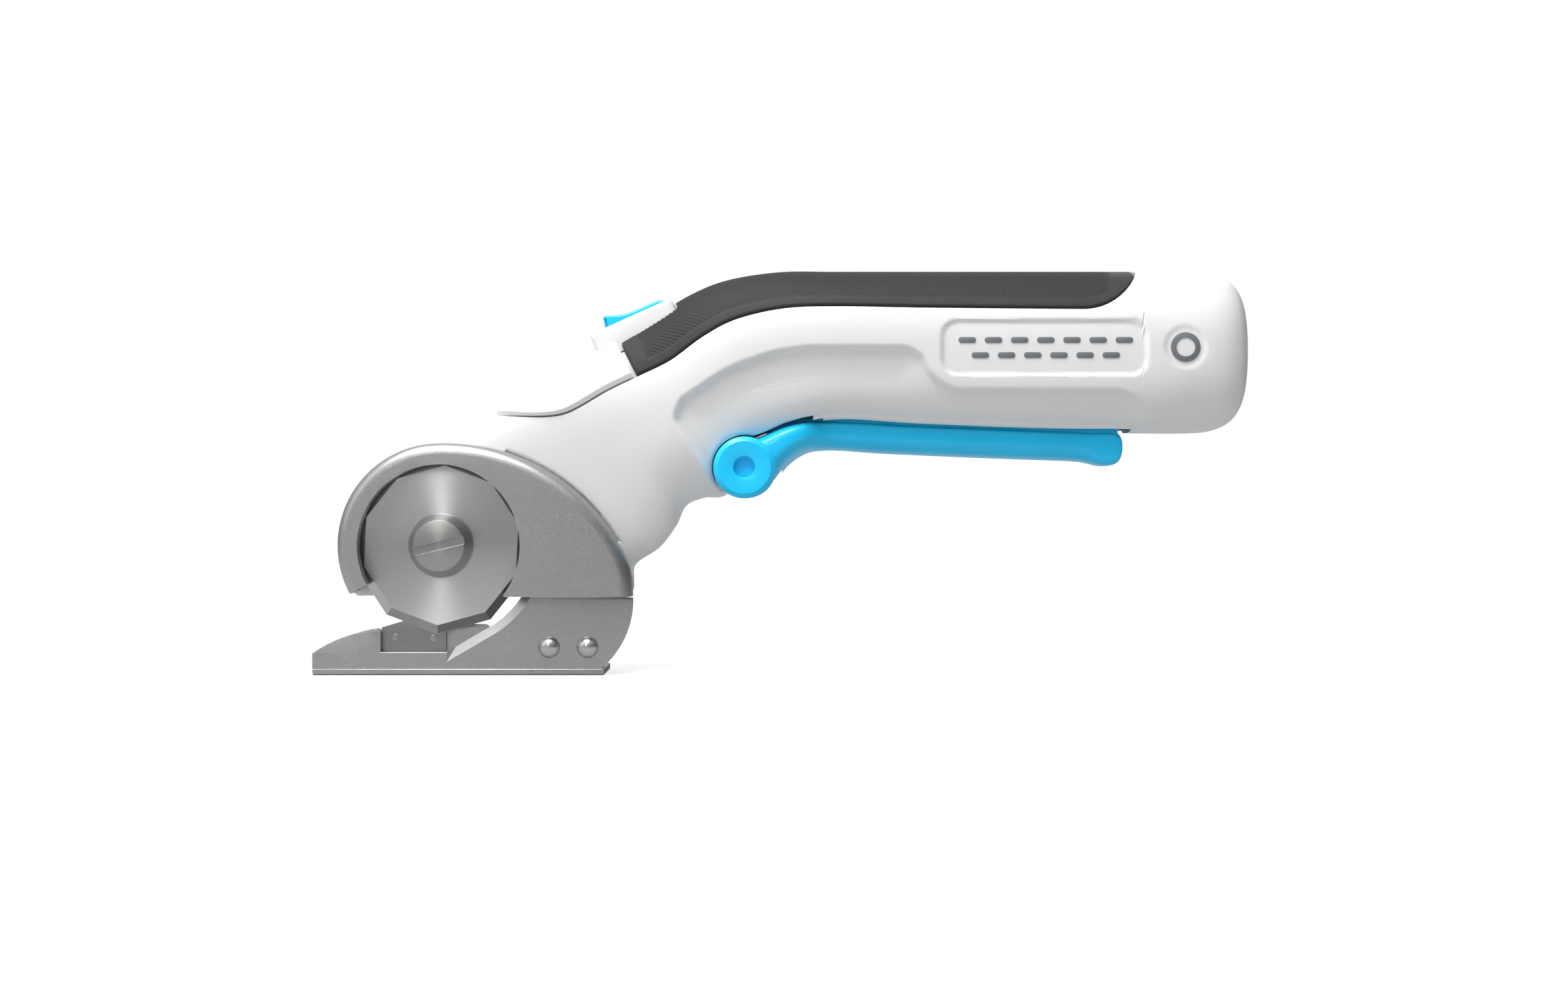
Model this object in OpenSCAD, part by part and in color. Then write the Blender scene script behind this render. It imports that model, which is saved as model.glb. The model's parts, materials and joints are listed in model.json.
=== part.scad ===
/* [Blade] */
// Size of the cutting blade across its flats
blade_af = 45; // [44:0.5:46]
// Number of cutting edges on the blade
blade_sides = 10; // [8:1:12]
// Thickness of the blade
blade_t = 1.2; // [1:0.1:1.2]
// Width of the ground bevel
bevel_w = 2.4; // [1.5:0.1:3]
// Height of the blade's axle above the sole
axle_z = 34.6; // [34:0.2:36]

/* [Head] */
// Outer radius of the cover round the blade
cover_r = 27.1; // [27:0.1:28]
// Radius of the window in the cover
window_r = 21.5; // [19:0.5:21.5]
// Thickness of the cover's walls
cover_wall = 2.1; // [1.8:0.1:2.1]
// Height of the cover's straight lower edge
cover_foot_z = 21.1; // [21:0.1:22]

/* [Shoe] */
// Length of the sole in front of the axle
sole_front = 34.1; // [32:0.5:36]
// Length of the sole behind the axle
sole_back = 43.3; // [42:0.1:44]
// Thickness of the sole
sole_t = 1.8; // [1.5:0.1:2]
// Width of the sole
sole_w = 21.3; // [18:0.1:22]

/* [Handle] */
// Wall thickness of the two housings
wall = 2.2; // [1.8:0.1:2.4]
// Thickness of the soft grip and of the neck cover
skin = 1.7; // [1.4:0.1:1.8]
// Half of the handle's width
handle_hw = 19.5; // [19.2:0.1:20.5]
// Height of the handle's top
handle_top = 108.6; // [108:0.2:110]
// Angle of the neck above the level
neck_tilt = 33; // [32:0.5:34]

/* [Lever] */
// Radius of the lever's hub
hub_r = 8.2; // [7.8:0.1:8.4]
// Radius of the lever's pivot pin
pin_r = 2.75; // [2.5:0.05:2.8]
// Half of the paddle's width
paddle_hw = 8; // [7:0.1:8.2]

/* [Drive] */
// Radius of the motor
motor_r = 12.1; // [11:0.1:12.1]
// Half of the motor's width across its flats
motor_flat = 9.15; // [8:0.05:9.2]
// Length of the motor's can
motor_l = 30.5; // [28:0.5:31]
// Radius of the battery cell
cell_r = 9.2; // [8:0.1:9.3]
// Length of the battery cell
cell_l = 65; // [60:1:66]

/* [Hidden] */
$fn = 48;
fit = 0.05;   // running clearance of a shaft in its hole
gap = 0.3;    // clearance between pieces that move past each other

// Depths along Y: the blade's side of the tool is the negative one
blade_back = -12;
blade_front = blade_back - blade_t;
fixed_front = blade_back + fit;
fixed_t = 1.2;
cover_face = -18.5;
cover_back = -9.6;
web_front = -13.25;
web_back = -9.75;
pocket_floor = fixed_front + fixed_t;
window_depth = 4.8;
motor_y = 5;

// ---------------------------------------------------------------- helpers

// A cylinder along Y, between two depths, round the point x, z
module rod(x, z, y0, y1, r, r2 = undef) {
  translate([x, y0, z])
    rotate([-90, 0, 0])
      cylinder(h = y1 - y0, r1 = r, r2 = is_undef(r2) ? r : r2);
}

// A plate whose outline is drawn in x and z, between two depths
module plate(y0, y1) {
  translate([0, y1, 0])
    rotate([90, 0, 0])
      linear_extrude(y1 - y0)
        children();
}

// The drive's own frame: its z runs up the neck from the blade's axle
module up_neck(a = 0) {
  translate([0, motor_y, axle_z])
    rotate([0, 90 - neck_tilt, 0])
      translate([0, 0, a])
        children();
}

// A tube along the drive's axis
module neck_tube(a0, a1, r_out, r_in) {
  up_neck(a0)
    difference() {
      cylinder(h = a1 - a0, r = r_out);
      translate([0, 0, -1])
        cylinder(h = a1 - a0 + 2, r = r_in);
    }
}

// An arc of points, from one angle to another
function arc(cx, cz, r, a0, a1, n = 16) =
  [for (i = [0:n]) let (a = a0 + (a1 - a0) * i / n) [cx + r * cos(a), cz + r * sin(a)]];

function inv(a) = tan(a) * 180 / PI - a;
// Half of a tooth's angle at radius p, on a gear of z teeth with pitch radius r
function half_tooth(z, r, p, slack) =
  let (rb = r * cos(20), q = max(p, rb)) 90 / z - slack + inv(20) - inv(acos(rb / q));
// The outline of a spur gear with a tooth on the x axis
function gear_points(z, m, slack, add = 0.85, ded = 1.15) =
  let (r = z * m / 2, radii = [r - ded * m, r - 0.4 * m, r, r + add * m])
  [for (i = [0:z - 1], s = [-1, 1], k = [0:3])
    let (p = radii[s < 0 ? k : 3 - k], a = i * 360 / z + s * half_tooth(z, r, p, slack))
      p * [cos(a), sin(a)]];
// The outline of the space inside a ring gear, with a tooth on the x axis
function ring_points(z, m, slack) =
  let (r = z * m / 2, radii = [r - 0.85 * m, r, r + 1.15 * m])
  [for (i = [0:z - 1], s = [-1, 1], k = [0:2])
    let (p = radii[s < 0 ? 2 - k : k],
         h = 90 / z - slack + (p - r) * tan(20) / r * 180 / PI,
         a = i * 360 / z + s * h)
      p * [cos(a), sin(a)]];

// ---------------------------------------------------------------- body shape

// Sections across the body, from the tail to the nose of the head. Each holds its top
// point x, z, its bottom point x, z, its depth on the near and far side, and the
// squareness of its upper and lower half, where 2 is an ellipse.
mid_z = handle_top - 21.9;
function tail(x, k) =
  [x, mid_z + 21.9 * k, x, mid_z - 21.9 * k, handle_hw * k, handle_hw * k, 2.3, 2.4];
function nose(a, xb, zb, sq) =
  [(cover_r + 0.3) * cos(a), axle_z + (cover_r + 0.3) * sin(a), xb, zb, 9.5, 19.2, sq, sq];
head_z = cover_foot_z - 0.3;
sections = [
  tail(215.4, 0.42), tail(215.1, 0.56), tail(214.1, 0.72), tail(211.9, 0.86),
  tail(207.9, 0.96), tail(201.4, 1),
  [186, handle_top, 186, 64.8, handle_hw, handle_hw, 2.3, 3],
  [160, handle_top, 160, 65.4, handle_hw, handle_hw, 2.3, 3.4],
  [128, handle_top, 128, 66.6, 19.3, handle_hw, 2.3, 3.4],
  [105, handle_top, 107, 67.8, 19, 19.4, 2.3, 3.2],
  [90, handle_top - 0.1, 95, 67.4, 18.6, 19.3, 2.3, 2.8],
  [76, 106.3, 86, 62.5, 18.3, 19.2, 2.3, 2.4],
  [66, 102.4, 80.5, 55, 18.1, 19.2, 2.3, 2.3],
  [56, 96.3, 75.4, 48, 17.8, 19.2, 2.3, 2.3],
  [47, 90.6, 69.5, 47.2, 17.2, 19.2, 2.4, 2.4],
  [38, 85.3, 64.6, 45, 16, 19.2, 2.6, 2.6],
  [30, 80.2, 61.8, 39.5, 14, 19.2, 3, 3],
  [21, 74.6, 57.2, 33.6, 11.6, 19.2, 3.6, 3.6],
  [11.5, 68.4, 50.4, 28.6, 10, 19.2, 4.6, 4.6],
  nose(86, 48.8, head_z, 6),
  nose(106, 36, head_z, 7),
  nose(128, 20, head_z, 7),
  nose(150, 4, head_z, 7),
  nose(172, -9, head_z, 7),
  nose(190, -18, head_z, 6),
  nose(204, -23, head_z, 5)
];
last = len(sections) - 1;
// A smooth curve through the sections, at any place s from 0 to 1
function cubic(a, b, c, d, u) =
  b + 0.5 * u * (c - a + u * (2 * a - 5 * b + 4 * c - d + u * (3 * (b - c) + d - a)));
function section(s) =
  let (f = s * last, i = min(floor(f), last - 1), u = f - i)
  cubic(sections[max(i - 1, 0)], sections[i], sections[i + 1], sections[min(i + 2, last)], u);

function power(v, e) = sign(v) * pow(abs(v), e);
// A point on the body's skin: s is the section, t the angle (-90 is the bottom, 90 the
// top), side is -1 for the near side, d the depth under the skin
function skin_point(s, t, side, d) =
  let (q = section(s), top = [q[0], q[1]], bot = [q[2], q[3]],
       h = norm(top - bot) / 2, up = (top - bot) / (2 * h), mid = (top + bot) / 2,
       w = side < 0 ? q[4] : q[5], e = 2 / (t > 0 ? q[6] : q[7]),
       v = (h - d) * power(sin(t), e), y = (w - d) * power(abs(cos(t)), e),
       p = mid + v * up)
  [p[0], side * y, p[1]];

// The soft grip and the neck cover lie in a band over the top of the body. Its lower
// edge is at band_t along the body, and rises to the top at both ends.
band_t = 25.5;
band_end_t = 80;
grip_tail_f = 6.1;
grip_nose_f = 14.1;
cover_nose_f = 17.8;
function rise(u) = let (v = max(0, min(1, u))) 1 - sqrt(1 - v * v);
function band(s) = band_t + (band_end_t - band_t)
  * max(rise((6.72 - s * last) / 0.64), rise((s * last - 16.2) / 1.6));

// The rings of the mesh, counted in sections, closer together at the band's ends
ring_f = concat([for (f = [0:0.5:5.5]) f], [6, 6.05, 6.1, 6.25, 6.45, 6.7], [for (f = [7:0.5:14]) f],
  [14.1, 14.5, 15, 15.5, 16, 16.4, 16.8, 17.2, 17.5, 17.7, 17.8, 17.85], [for (f = [18.2:0.6:24.8]) f], [25]);
steps = len(ring_f) - 1;
function ring_s(i) = ring_f[i] / last;
cols = 12;
band_col = 6;
// Angle of column j of one half, with a step at the edge of the band
function col_t(j, s) =
  j <= band_col ? -90 + (band(s) + 90) * j / band_col
  : band(s) + 1.2 + (88.8 - band(s)) * (j - band_col - 1) / (cols - band_col - 2);
function in_band(s) = s * last > grip_tail_f - 0.001 && s * last < cover_nose_f + 0.001;
function depth_at(s, j) = in_band(s) && j > band_col ? skin + 0.25 : 0;

// One housing: the half of the body on one side, hollow and open at the middle plane
module half_shell(side) {
  m = cols;
  inner_s0 = 1.2 / last;
  inner_s1 = (last - 0.9) / last;
  outer = [for (i = [0:steps], j = [0:m - 1])
    let (s = ring_s(i)) skin_point(s, col_t(j, s), side, depth_at(s, j))];
  inner = [for (i = [0:steps], j = [0:m - 1])
    let (s = max(inner_s0 + i * 1e-4, min(inner_s1 - (steps - i) * 1e-4, ring_s(i))))
      skin_point(s, col_t(j, s), side, wall + (j > band_col && in_band(s) ? skin : 0))];
  n = len(outer);
  function o(i, j) = i * m + j;
  function k(i, j) = n + i * m + j;
  outside = [for (i = [0:steps - 1], j = [0:m - 2], h = [0, 1])
    h == 0 ? [o(i, j), o(i, j + 1), o(i + 1, j + 1)] : [o(i, j), o(i + 1, j + 1), o(i + 1, j)]];
  inside = [for (i = [0:steps - 1], j = [0:m - 2], h = [0, 1])
    h == 0 ? [k(i, j), k(i + 1, j + 1), k(i, j + 1)] : [k(i, j), k(i + 1, j), k(i + 1, j + 1)]];
  rims = [for (i = [0:steps - 1], h = [0:3])
    h == 0 ? [o(i, 0), o(i + 1, 0), k(i + 1, 0)]
    : h == 1 ? [o(i, 0), k(i + 1, 0), k(i, 0)]
    : h == 2 ? [o(i, m - 1), k(i + 1, m - 1), o(i + 1, m - 1)]
    : [o(i, m - 1), k(i, m - 1), k(i + 1, m - 1)]];
  ends = [
    [for (j = [m - 1:-1:0]) o(0, j)],
    [for (j = [0:m - 1]) o(steps, j)],
    [for (j = [0:m - 1]) k(0, j)],
    [for (j = [m - 1:-1:0]) k(steps, j)],
    [o(0, 0), k(0, 0), k(0, m - 1)], [o(0, 0), k(0, m - 1), o(0, m - 1)],
    [o(steps, 0), k(steps, m - 1), k(steps, 0)],
    [o(steps, 0), o(steps, m - 1), k(steps, m - 1)]
  ];
  faces = concat(outside, inside, rims, ends);
  polyhedron(
    points = concat(outer, inner),
    faces = side > 0 ? faces : [for (f = faces) [for (i = [len(f) - 1:-1:0]) f[i]]],
    convexity = 6
  );
}

// A band over the top of the body, from one place along it to another
module top_band(f0, f1, d0, d1) {
  half = cols - band_col - 1;
  m = 2 * half - 1;
  function up_t(j, s) = j == 0 ? band(s) + 1.8 : col_t(band_col + 1 + j, s);
  function ring(s, d) = [for (j = [0:m - 1])
    skin_point(s, up_t(j < half ? j : m - 1 - j, s), j < half ? -1 : 1, d)];
  places = concat([f0], [for (f = ring_f) if (f > f0 + 0.02 && f < f1 - 0.02) f], [f1]);
  count = len(places) - 1;
  rings = [for (f = places) let (s = f / last)
    concat(ring(s, d0), [for (j = [m - 1:-1:0]) ring(s, d1)[j]])];
  w = 2 * m;
  pts = [for (r = rings) for (p = r) p];
  sides = [for (i = [0:count - 1], j = [0:w - 1], h = [0, 1])
    let (a = i * w + j, b = i * w + (j + 1) % w)
      h == 0 ? [a, a + w, b + w] : [a, b + w, b]];
  caps = [for (j = [0:m - 2], e = [0, 1], h = [0, 1])
    let (f = e * count * w, a = f + j, b = f + j + 1, c = f + w - 2 - j, d = f + w - 1 - j,
         tri = h == 0 ? [a, b, c] : [a, c, d])
      e == 0 ? tri : [tri[2], tri[1], tri[0]]];
  polyhedron(points = pts, faces = concat(sides, caps), convexity = 6);
}

// ---------------------------------------------------------------- housings

hub_x = 80.7;
hub_z = 55.3;
boss_hw = 8;
arm_room = 10.4;
// Screws that hold the housings together: x, z, and how far the near and far posts reach
screw_spots = [[37, 26.5, 8.6, 17.8], [48, 41, 10.4, 17], [66, 54, 11, 12.4],
               [99, 93.5, 16.5, 16.5], [197, 100, 15, 15], [197, 70.5, 13, 13]];
screw_r = 1.25;
head_r = 2.4;
head_y = 10.2;
board_z = 75.8;
board_t = 1.6;
port_x = 206.7;
port_z = board_z + board_t + 1.65;

// What is taken out of both housings
module housing_cuts() {
  // room for the lever and its hub
  for (side = [-1, 1])
    rod(hub_x, hub_z, side < 0 ? -25 : boss_hw + 0.3, side < 0 ? -boss_hw - 0.3 : 25, hub_r + 0.5);
  translate([hub_x, -arm_room, 50])
    cube([21, 2 * arm_room, 21]);
  translate([100, -paddle_hw - 0.6, 50])
    cube([84.2, 2 * paddle_hw + 1.2, 22]);
  at_button()
    translate([-5, -8.4, -8.4])
      cube([25, 16.8, 20]);
  at_button()
    translate([-1.2, -4.3, -14])
      cube([17.5, 8.6, 16]);
  // the charging port and its light
  translate([203.3, -4.9, port_z - 2.1])
    cube([20, 9.8, 4.2]);
  translate([203.3, 9, port_z])
    rotate([0, 90, 0])
      cylinder(h = 20, r = 1.3);
}

// The boss that holds one end of the lever's pin, and the rib that carries it
module pin_boss(y0, y1) {
  rod(hub_x, hub_z, y0, y1, 6.2);
  translate([hub_x - 9, y0, hub_z - 4])
    cube([8, y1 - y0, 8]);
}

module near_housing() {
  color([0.94, 0.94, 0.95])
    difference() {
      union() {
        difference() {
          half_shell(-1);
          housing_cuts();
        }
        pin_boss(-boss_hw, 0);
        for (p = screw_spots)
          rod(p[0], p[1], -p[2], 0, 3.5);
        for (p = shoe_screw_spots)
          rod(p[0], p[1], -8.4, -4, 3.2);
      }
      for (p = screw_spots)
        rod(p[0], p[1], -5.2, 1, screw_r);
      rod(hub_x, hub_z, -boss_hw - 1, 1, pin_r);
      // seat of the blade cover, and the hole for the bearing's collar
      plate(-20, cover_back + 0.1)
        cover_outline(gap);
      rod(0, axle_z, -12, -5, 10.4);
      for (p = shoe_screw_spots)
        rod(p[0], p[1], -12, -3, 1.6);
      for (p = cover_screw_spots)
        rod(p[0], p[1], -12, -5, 1.6);
    }
}

module far_housing() {
  color([0.94, 0.94, 0.95])
    difference() {
      union() {
        difference() {
          half_shell(1);
          housing_cuts();
        }
        pin_boss(0, boss_hw);
        for (p = screw_spots)
          rod(p[0], p[1], 0, p[3], 3.5);
      }
      for (p = screw_spots) {
        rod(p[0], p[1], -1, 12, screw_r);
        rod(p[0], p[1], head_y - 0.05, 25, head_r + 0.2);
      }
      rod(hub_x, hub_z, -1, boss_hw + 1, pin_r);
    }
}

module top_grip() {
  color([0.18, 0.18, 0.19])
    difference() {
      top_band(grip_tail_f, grip_nose_f - 0.06, 0, skin);
      at_button()
        translate([-5, -8.4, -8.4])
          cube([25, 16.8, 20]);
    }
}

// The button's line along the top of the neck
button_tilt = 24.3;
button_x = 42.9;
button_z = 93.2;
button_l = 17;
button_hw = 6;
module at_button() {
  translate([button_x, 0, button_z])
    rotate([0, -button_tilt, 0])
      children();
}

module neck_cover() {
  color([0.96, 0.96, 0.97])
    difference() {
      union() {
        top_band(grip_nose_f + 0.06, cover_nose_f, 0, skin);
        // the raised frame round the button
        at_button()
          translate([-4.6, -8, -8])
            cube([24.2, 16, 7.4]);
      }
      at_button() {
        translate([-3.6, -button_hw - 0.4, -1.6])
          cube([22.4, 2 * button_hw + 0.8, 12]);
        translate([0.4, -2.8, -14])
          cube([13.4, 5.6, 16]);
      }
    }
}

module lock_button() {
  color([0.16, 0.7, 0.93])
    at_button() {
      difference() {
        translate([0, button_hw, 0])
          rotate([90, 0, 0])
            linear_extrude(2 * button_hw)
              polygon([[-0.3, -1.3], [button_l, -1.3], [button_l, 0.4], [12.5, 0.8], [7, 1.4],
                       [3, 3], [1.6, 3.9], [0.6, 4]]);
      }
      translate([4.2, -2.5, -8.2])
        cube([7, 5, 7.2]);
    }
}

module lock_switch() {
  color([0.1, 0.1, 0.11])
    at_button()
      translate([-1, -4, -14])
        cube([17, 8, 5.6]);
}

shoe_screw_spots = [[30, 31.5], [40, 31.5]];
cover_screw_spots = [[24, 51], [38.5, 40.5]];

// ---------------------------------------------------------------- lever

// The arm in side view: it leaves the hub, bends level and ends in a hooked lip
module lever_outline() {
  polygon(concat(
    [[hub_x - 1, hub_z + hub_r - 0.1], [85.6, 63.2], [91.1, 65.7], [97, 67.5], [105, 68.2],
     [128.5, 67.1], [181.2, 65], [182.3, 61]],
    arc(179.4, 58.9, 2.9, 10, -100, 6),
    [[175.2, 55.6], [169.8, 57.1], [126.3, 58.7], [98.5, 60], [95.2, 58.6], [91.6, 55.2],
     [88.4, 51.5], [hub_x + 4, hub_z - 7]]
  ));
}
module paddle_lever() {
  color([0.16, 0.7, 0.93])
    difference() {
      union() {
        for (side = [-1, 1])
          rod(hub_x, hub_z, side < 0 ? -17.6 : boss_hw + 0.6, side < 0 ? -boss_hw - 0.6 : 17.6, hub_r);
        intersection() {
          plate(-14, 14)
            lever_outline();
          translate([hub_x - 2, -14, 45])
            cube([21, 28, 26]);
        }
        intersection() {
          plate(-paddle_hw, paddle_hw)
            lever_outline();
          translate([98, -20, 45])
            cube([90, 40, 26]);
        }
        // the rib that stands in the handle's slot, and the finger for the switch
        plate(-paddle_hw + 1, paddle_hw - 1)
          polygon([[104, 66], [90.5, 62], [90.5, 66.4], [96, 68.4], [104, 68.8], [181, 66.4], [181, 64]]);
        translate([108.5, -2, 65])
          cube([4, 4, 5.2]);
      }
      // the arm straddles the boss that holds the pin
      rod(hub_x, hub_z, -boss_hw - 0.6, boss_hw + 0.6, 10);
      rod(hub_x, hub_z, -20, 20, pin_r + fit);
      // seat of the return spring
      translate([spring_x, 0, spring_z0])
        cylinder(h = 12, r = 4.7);
    }
}

module lever_pin() {
  color([0.6, 0.6, 0.62])
    rod(hub_x, hub_z, -15.5, 15.5, pin_r);
}

spring_x = 135;
spring_z0 = 63.6;
spring_z1 = 73.6;
spring_r = 3;
wire_r = 0.35;
spring_turns = 5;
module lever_spring() {
  ring_n = 60;
  sides = 6;
  pts = [for (i = [0:ring_n], k = [0:sides - 1])
    let (a = 360 * spring_turns * i / ring_n,
         z = spring_z0 + wire_r + (spring_z1 - spring_z0 - 2 * wire_r) * i / ring_n,
         r = spring_r + wire_r * cos(60 * k))
      [spring_x + r * cos(a), r * sin(a), z + wire_r * sin(60 * k)]];
  faces = concat(
    [for (i = [0:ring_n - 1], k = [0:sides - 1], h = [0, 1])
      let (a = i * sides + k, b = i * sides + (k + 1) % sides)
        h == 0 ? [a, b + sides, a + sides] : [a, b, b + sides]],
    [[for (k = [sides - 1:-1:0]) k]],
    [[for (k = [0:sides - 1]) ring_n * sides + k]]
  );
  color([0.7, 0.7, 0.72])
    polyhedron(points = pts, faces = faces);
}

// ---------------------------------------------------------------- electrics

module micro_switch() {
  color([0.12, 0.12, 0.13])
    difference() {
      translate([104, -2.9, 71.9])
        cube([12.8, 5.8, board_z - 71.9]);
      translate([110.5, 0, 71])
        cylinder(h = 3.8, r = 1.3);
    }
}
module switch_plunger() {
  color([0.75, 0.2, 0.15])
    translate([110.5, 0, 70.3])
      cylinder(h = 2.6, r = 1.2);
}
module battery_cell() {
  color([0.25, 0.45, 0.3])
    translate([112, 0, 90])
      rotate([0, 90, 0]) {
        cylinder(h = cell_l, r = cell_r);
        translate([0, 0, cell_l - 0.01])
          cylinder(h = 0.7, r = 3);
      }
}
module battery_contacts() {
  color([0.8, 0.78, 0.7]) {
    translate([111.4, -4, 78])
      cube([0.5, 8, 16]);
    translate([112 + cell_l + 0.8, -4, 78])
      cube([0.5, 8, 16]);
  }
}
module circuit_board() {
  color([0.1, 0.35, 0.2])
    difference() {
      translate([102, -9, board_z])
        cube([110.1, 18, board_t]);
      translate([spring_x, 0, board_z - 1])
        cylinder(h = 4, r = 1.2);
    }
  color([0.1, 0.1, 0.1]) {
    translate([188, -4, board_z + board_t])
      cube([7, 7, 1]);
    translate([103, 2, board_z + board_t])
      cube([5, 5, 1]);
  }
}
module charging_port() {
  color([0.75, 0.75, 0.76])
    difference() {
      translate([port_x - 3, -4.45, port_z - 1.65])
        cube([7.4, 8.9, 3.3]);
      translate([port_x - 1, -4.1, port_z - 1.3])
        cube([7.4, 8.2, 2.6]);
    }
}
module charge_light() {
  color([0.9, 0.95, 1])
    translate([211.3, 9, port_z])
      rotate([0, 90, 0])
        cylinder(h = 3.6, r = 1.2);
}
// A round wire along a route of a few points
function bend(p, i) = let (a = p[max(i - 1, 0)], b = p[min(i + 1, len(p) - 1)]) (b - a) / norm(b - a);
module wire(route, r = 0.7) {
  n = 8;
  side = [0, 1, 0];
  pts = [for (i = [0:len(route) - 1], k = [0:n - 1])
    let (d = bend(route, i), u = cross(d, side) / norm(cross(d, side)), v = cross(u, d))
      route[i] + r * (cos(360 * k / n) * u + sin(360 * k / n) * v)];
  faces = concat(
    [for (i = [0:len(route) - 2], k = [0:n - 1], h = [0, 1])
      let (a = i * n + k, b = i * n + (k + 1) % n)
        h == 0 ? [a, b + n, a + n] : [a, b, b + n]],
    [[for (k = [n - 1:-1:0]) k]],
    [[for (k = [0:n - 1]) (len(route) - 1) * n + k]]
  );
  polyhedron(points = pts, faces = faces);
}
module wiring() {
  for (side = [-1, 1])
    color(side < 0 ? [0.75, 0.1, 0.1] : [0.1, 0.1, 0.1])
      wire([
        [54, motor_y + side * 5, 70], [60, motor_y + side * 5, 73.5], [72, 4 + side * 4, 79],
        [86, 1 + side * 4, 83], [97, side * 4, 82], [104, side * 4, 78.6 + 1.6]
      ]);
}

// ---------------------------------------------------------------- drive

teeth_sun = 12;
teeth_planet = 12;
teeth_ring = 36;
gear_m = 0.5;
planet_orbit = gear_m * (teeth_sun + teeth_planet) / 2;
pinion_teeth = 12;
face_teeth = 24;
pinion_m = 0.7;
pinion_a0 = 7.2;
pinion_a1 = 9.6;
mesh_y = motor_y - pinion_teeth * pinion_m / 2;
planet_a0 = 16.8;
planet_a1 = 20.8;
motor_a0 = 24;
motor_a1 = motor_a0 + motor_l;

module motor_body(a0, a1, r, flat) {
  up_neck(a0)
    intersection() {
      cylinder(h = a1 - a0, r = r);
      translate([-20, -flat, -1])
        cube([40, 2 * flat, a1 - a0 + 2]);
    }
}
module motor_can() {
  color([0.62, 0.63, 0.65])
    difference() {
      motor_body(motor_a0, motor_a1, motor_r, motor_flat);
      motor_body(motor_a0 + 1, motor_a1 + 1, motor_r - 0.8, motor_flat - 0.8);
      up_neck(motor_a0 - 1)
        cylinder(h = 4, r = 1.4);
    }
}
module motor_magnets() {
  color([0.25, 0.25, 0.27])
    intersection() {
      neck_tube(motor_a0 + 3, motor_a1 - 4, motor_r - 0.85, 9);
      up_neck(motor_a0)
        for (side = [0, 180])
          rotate([0, 0, side])
            linear_extrude(motor_l)
              polygon([[0, 0], [20, -16], [20, 16]]);
      motor_body(motor_a0, motor_a1, motor_r, motor_flat - 0.85);
    }
}
module motor_armature() {
  color([0.55, 0.4, 0.25])
    up_neck() {
      translate([0, 0, motor_a0 + 4])
        cylinder(h = motor_l - 9, r = 8.2);
      translate([0, 0, planet_a0 + 0.3])
        cylinder(h = motor_a1 + 1.5 - planet_a0 - 0.3, r = 1);
    }
}
module motor_end_cap() {
  color([0.12, 0.12, 0.13])
    difference() {
      motor_body(motor_a1 + 0.02, motor_a1 + 3, motor_r - 0.2, motor_flat - 0.2);
      up_neck(motor_a1 - 1)
        cylinder(h = 3.2, r = 1 + fit);
    }
}
module motor_plate() {
  color([0.7, 0.7, 0.72])
    difference() {
      neck_tube(22.2, motor_a0 - 0.02, 11, 3);
      up_neck(21)
        for (side = [-1, 1])
          translate([8 * side, 0, 0])
            cylinder(h = 4, r = 1.1);
    }
}
module sun_gear() {
  color([0.8, 0.7, 0.4])
    up_neck(planet_a0)
      difference() {
        linear_extrude(planet_a1 - planet_a0)
          polygon(gear_points(teeth_sun, gear_m, 0.7));
        translate([0, 0, -1])
          cylinder(h = 8, r = 1);
      }
}
module planet_gear(i) {
  color([0.85, 0.85, 0.8])
    up_neck(planet_a0)
      rotate([0, 0, 120 * i])
        translate([planet_orbit, 0, 0])
          difference() {
            rotate([0, 0, 180 / teeth_planet])
              linear_extrude(planet_a1 - planet_a0)
                polygon(gear_points(teeth_planet, gear_m, 0.7));
            translate([0, 0, -1])
              cylinder(h = 8, r = 0.9 + fit);
          }
}
module planet_carrier() {
  color([0.6, 0.6, 0.62])
    up_neck() {
      translate([0, 0, 14.9])
        cylinder(h = 1.6, r = 8.2);
      for (i = [0:2])
        rotate([0, 0, 120 * i])
          translate([planet_orbit, 0, 16.4])
            cylinder(h = 4.8, r = 0.9);
      translate([0, 0, pinion_a0])
        cylinder(h = 14.95 - pinion_a0, r = 2.5);
    }
}
module drive_pinion() {
  color([0.7, 0.7, 0.68])
    up_neck(pinion_a0)
      difference() {
        linear_extrude(pinion_a1 - pinion_a0)
          polygon(gear_points(pinion_teeth, pinion_m, 2, 0.75));
        translate([0, 0, -1])
          cylinder(h = 8, r = 2.5);
      }
}
module ring_gear() {
  color([0.85, 0.85, 0.8])
    up_neck(16.6)
      difference() {
        cylinder(h = 5.4, r = 11);
        translate([0, 0, -1])
          linear_extrude(8)
            polygon(ring_points(teeth_ring, gear_m, 0.3));
      }
}
module gear_case() {
  color([0.72, 0.73, 0.75])
    difference() {
      union() {
        intersection() {
          rod(0, axle_z, -6.8, 14.2, 12.6);
          translate([-20, -10, head_z + wall + 1.2])
            cube([40, 40, 40]);
        }
        rod(0, axle_z, 14, 16.4, 8);
        rod(0, axle_z, -10.4, -6, 10.2);
        intersection() {
          up_neck(11.2)
            cylinder(h = 12.8, r = 11.9);
          translate([-20, -6.8, 24])
            cube([60, 23, 60]);
        }
      }
      // cavity of the face gear
      rod(0, axle_z, -6.1, 11, 11);
      // bores of the two bearings
      rod(0, axle_z, -11, -5, 8);
      rod(0, axle_z, 10, 17, 5.5);
      // bore of the planet gears
      up_neck(14.7)
        cylinder(h = 20, r = 11);
      up_neck(5)
        cylinder(h = 12, r = 4.2);
    }
}
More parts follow.
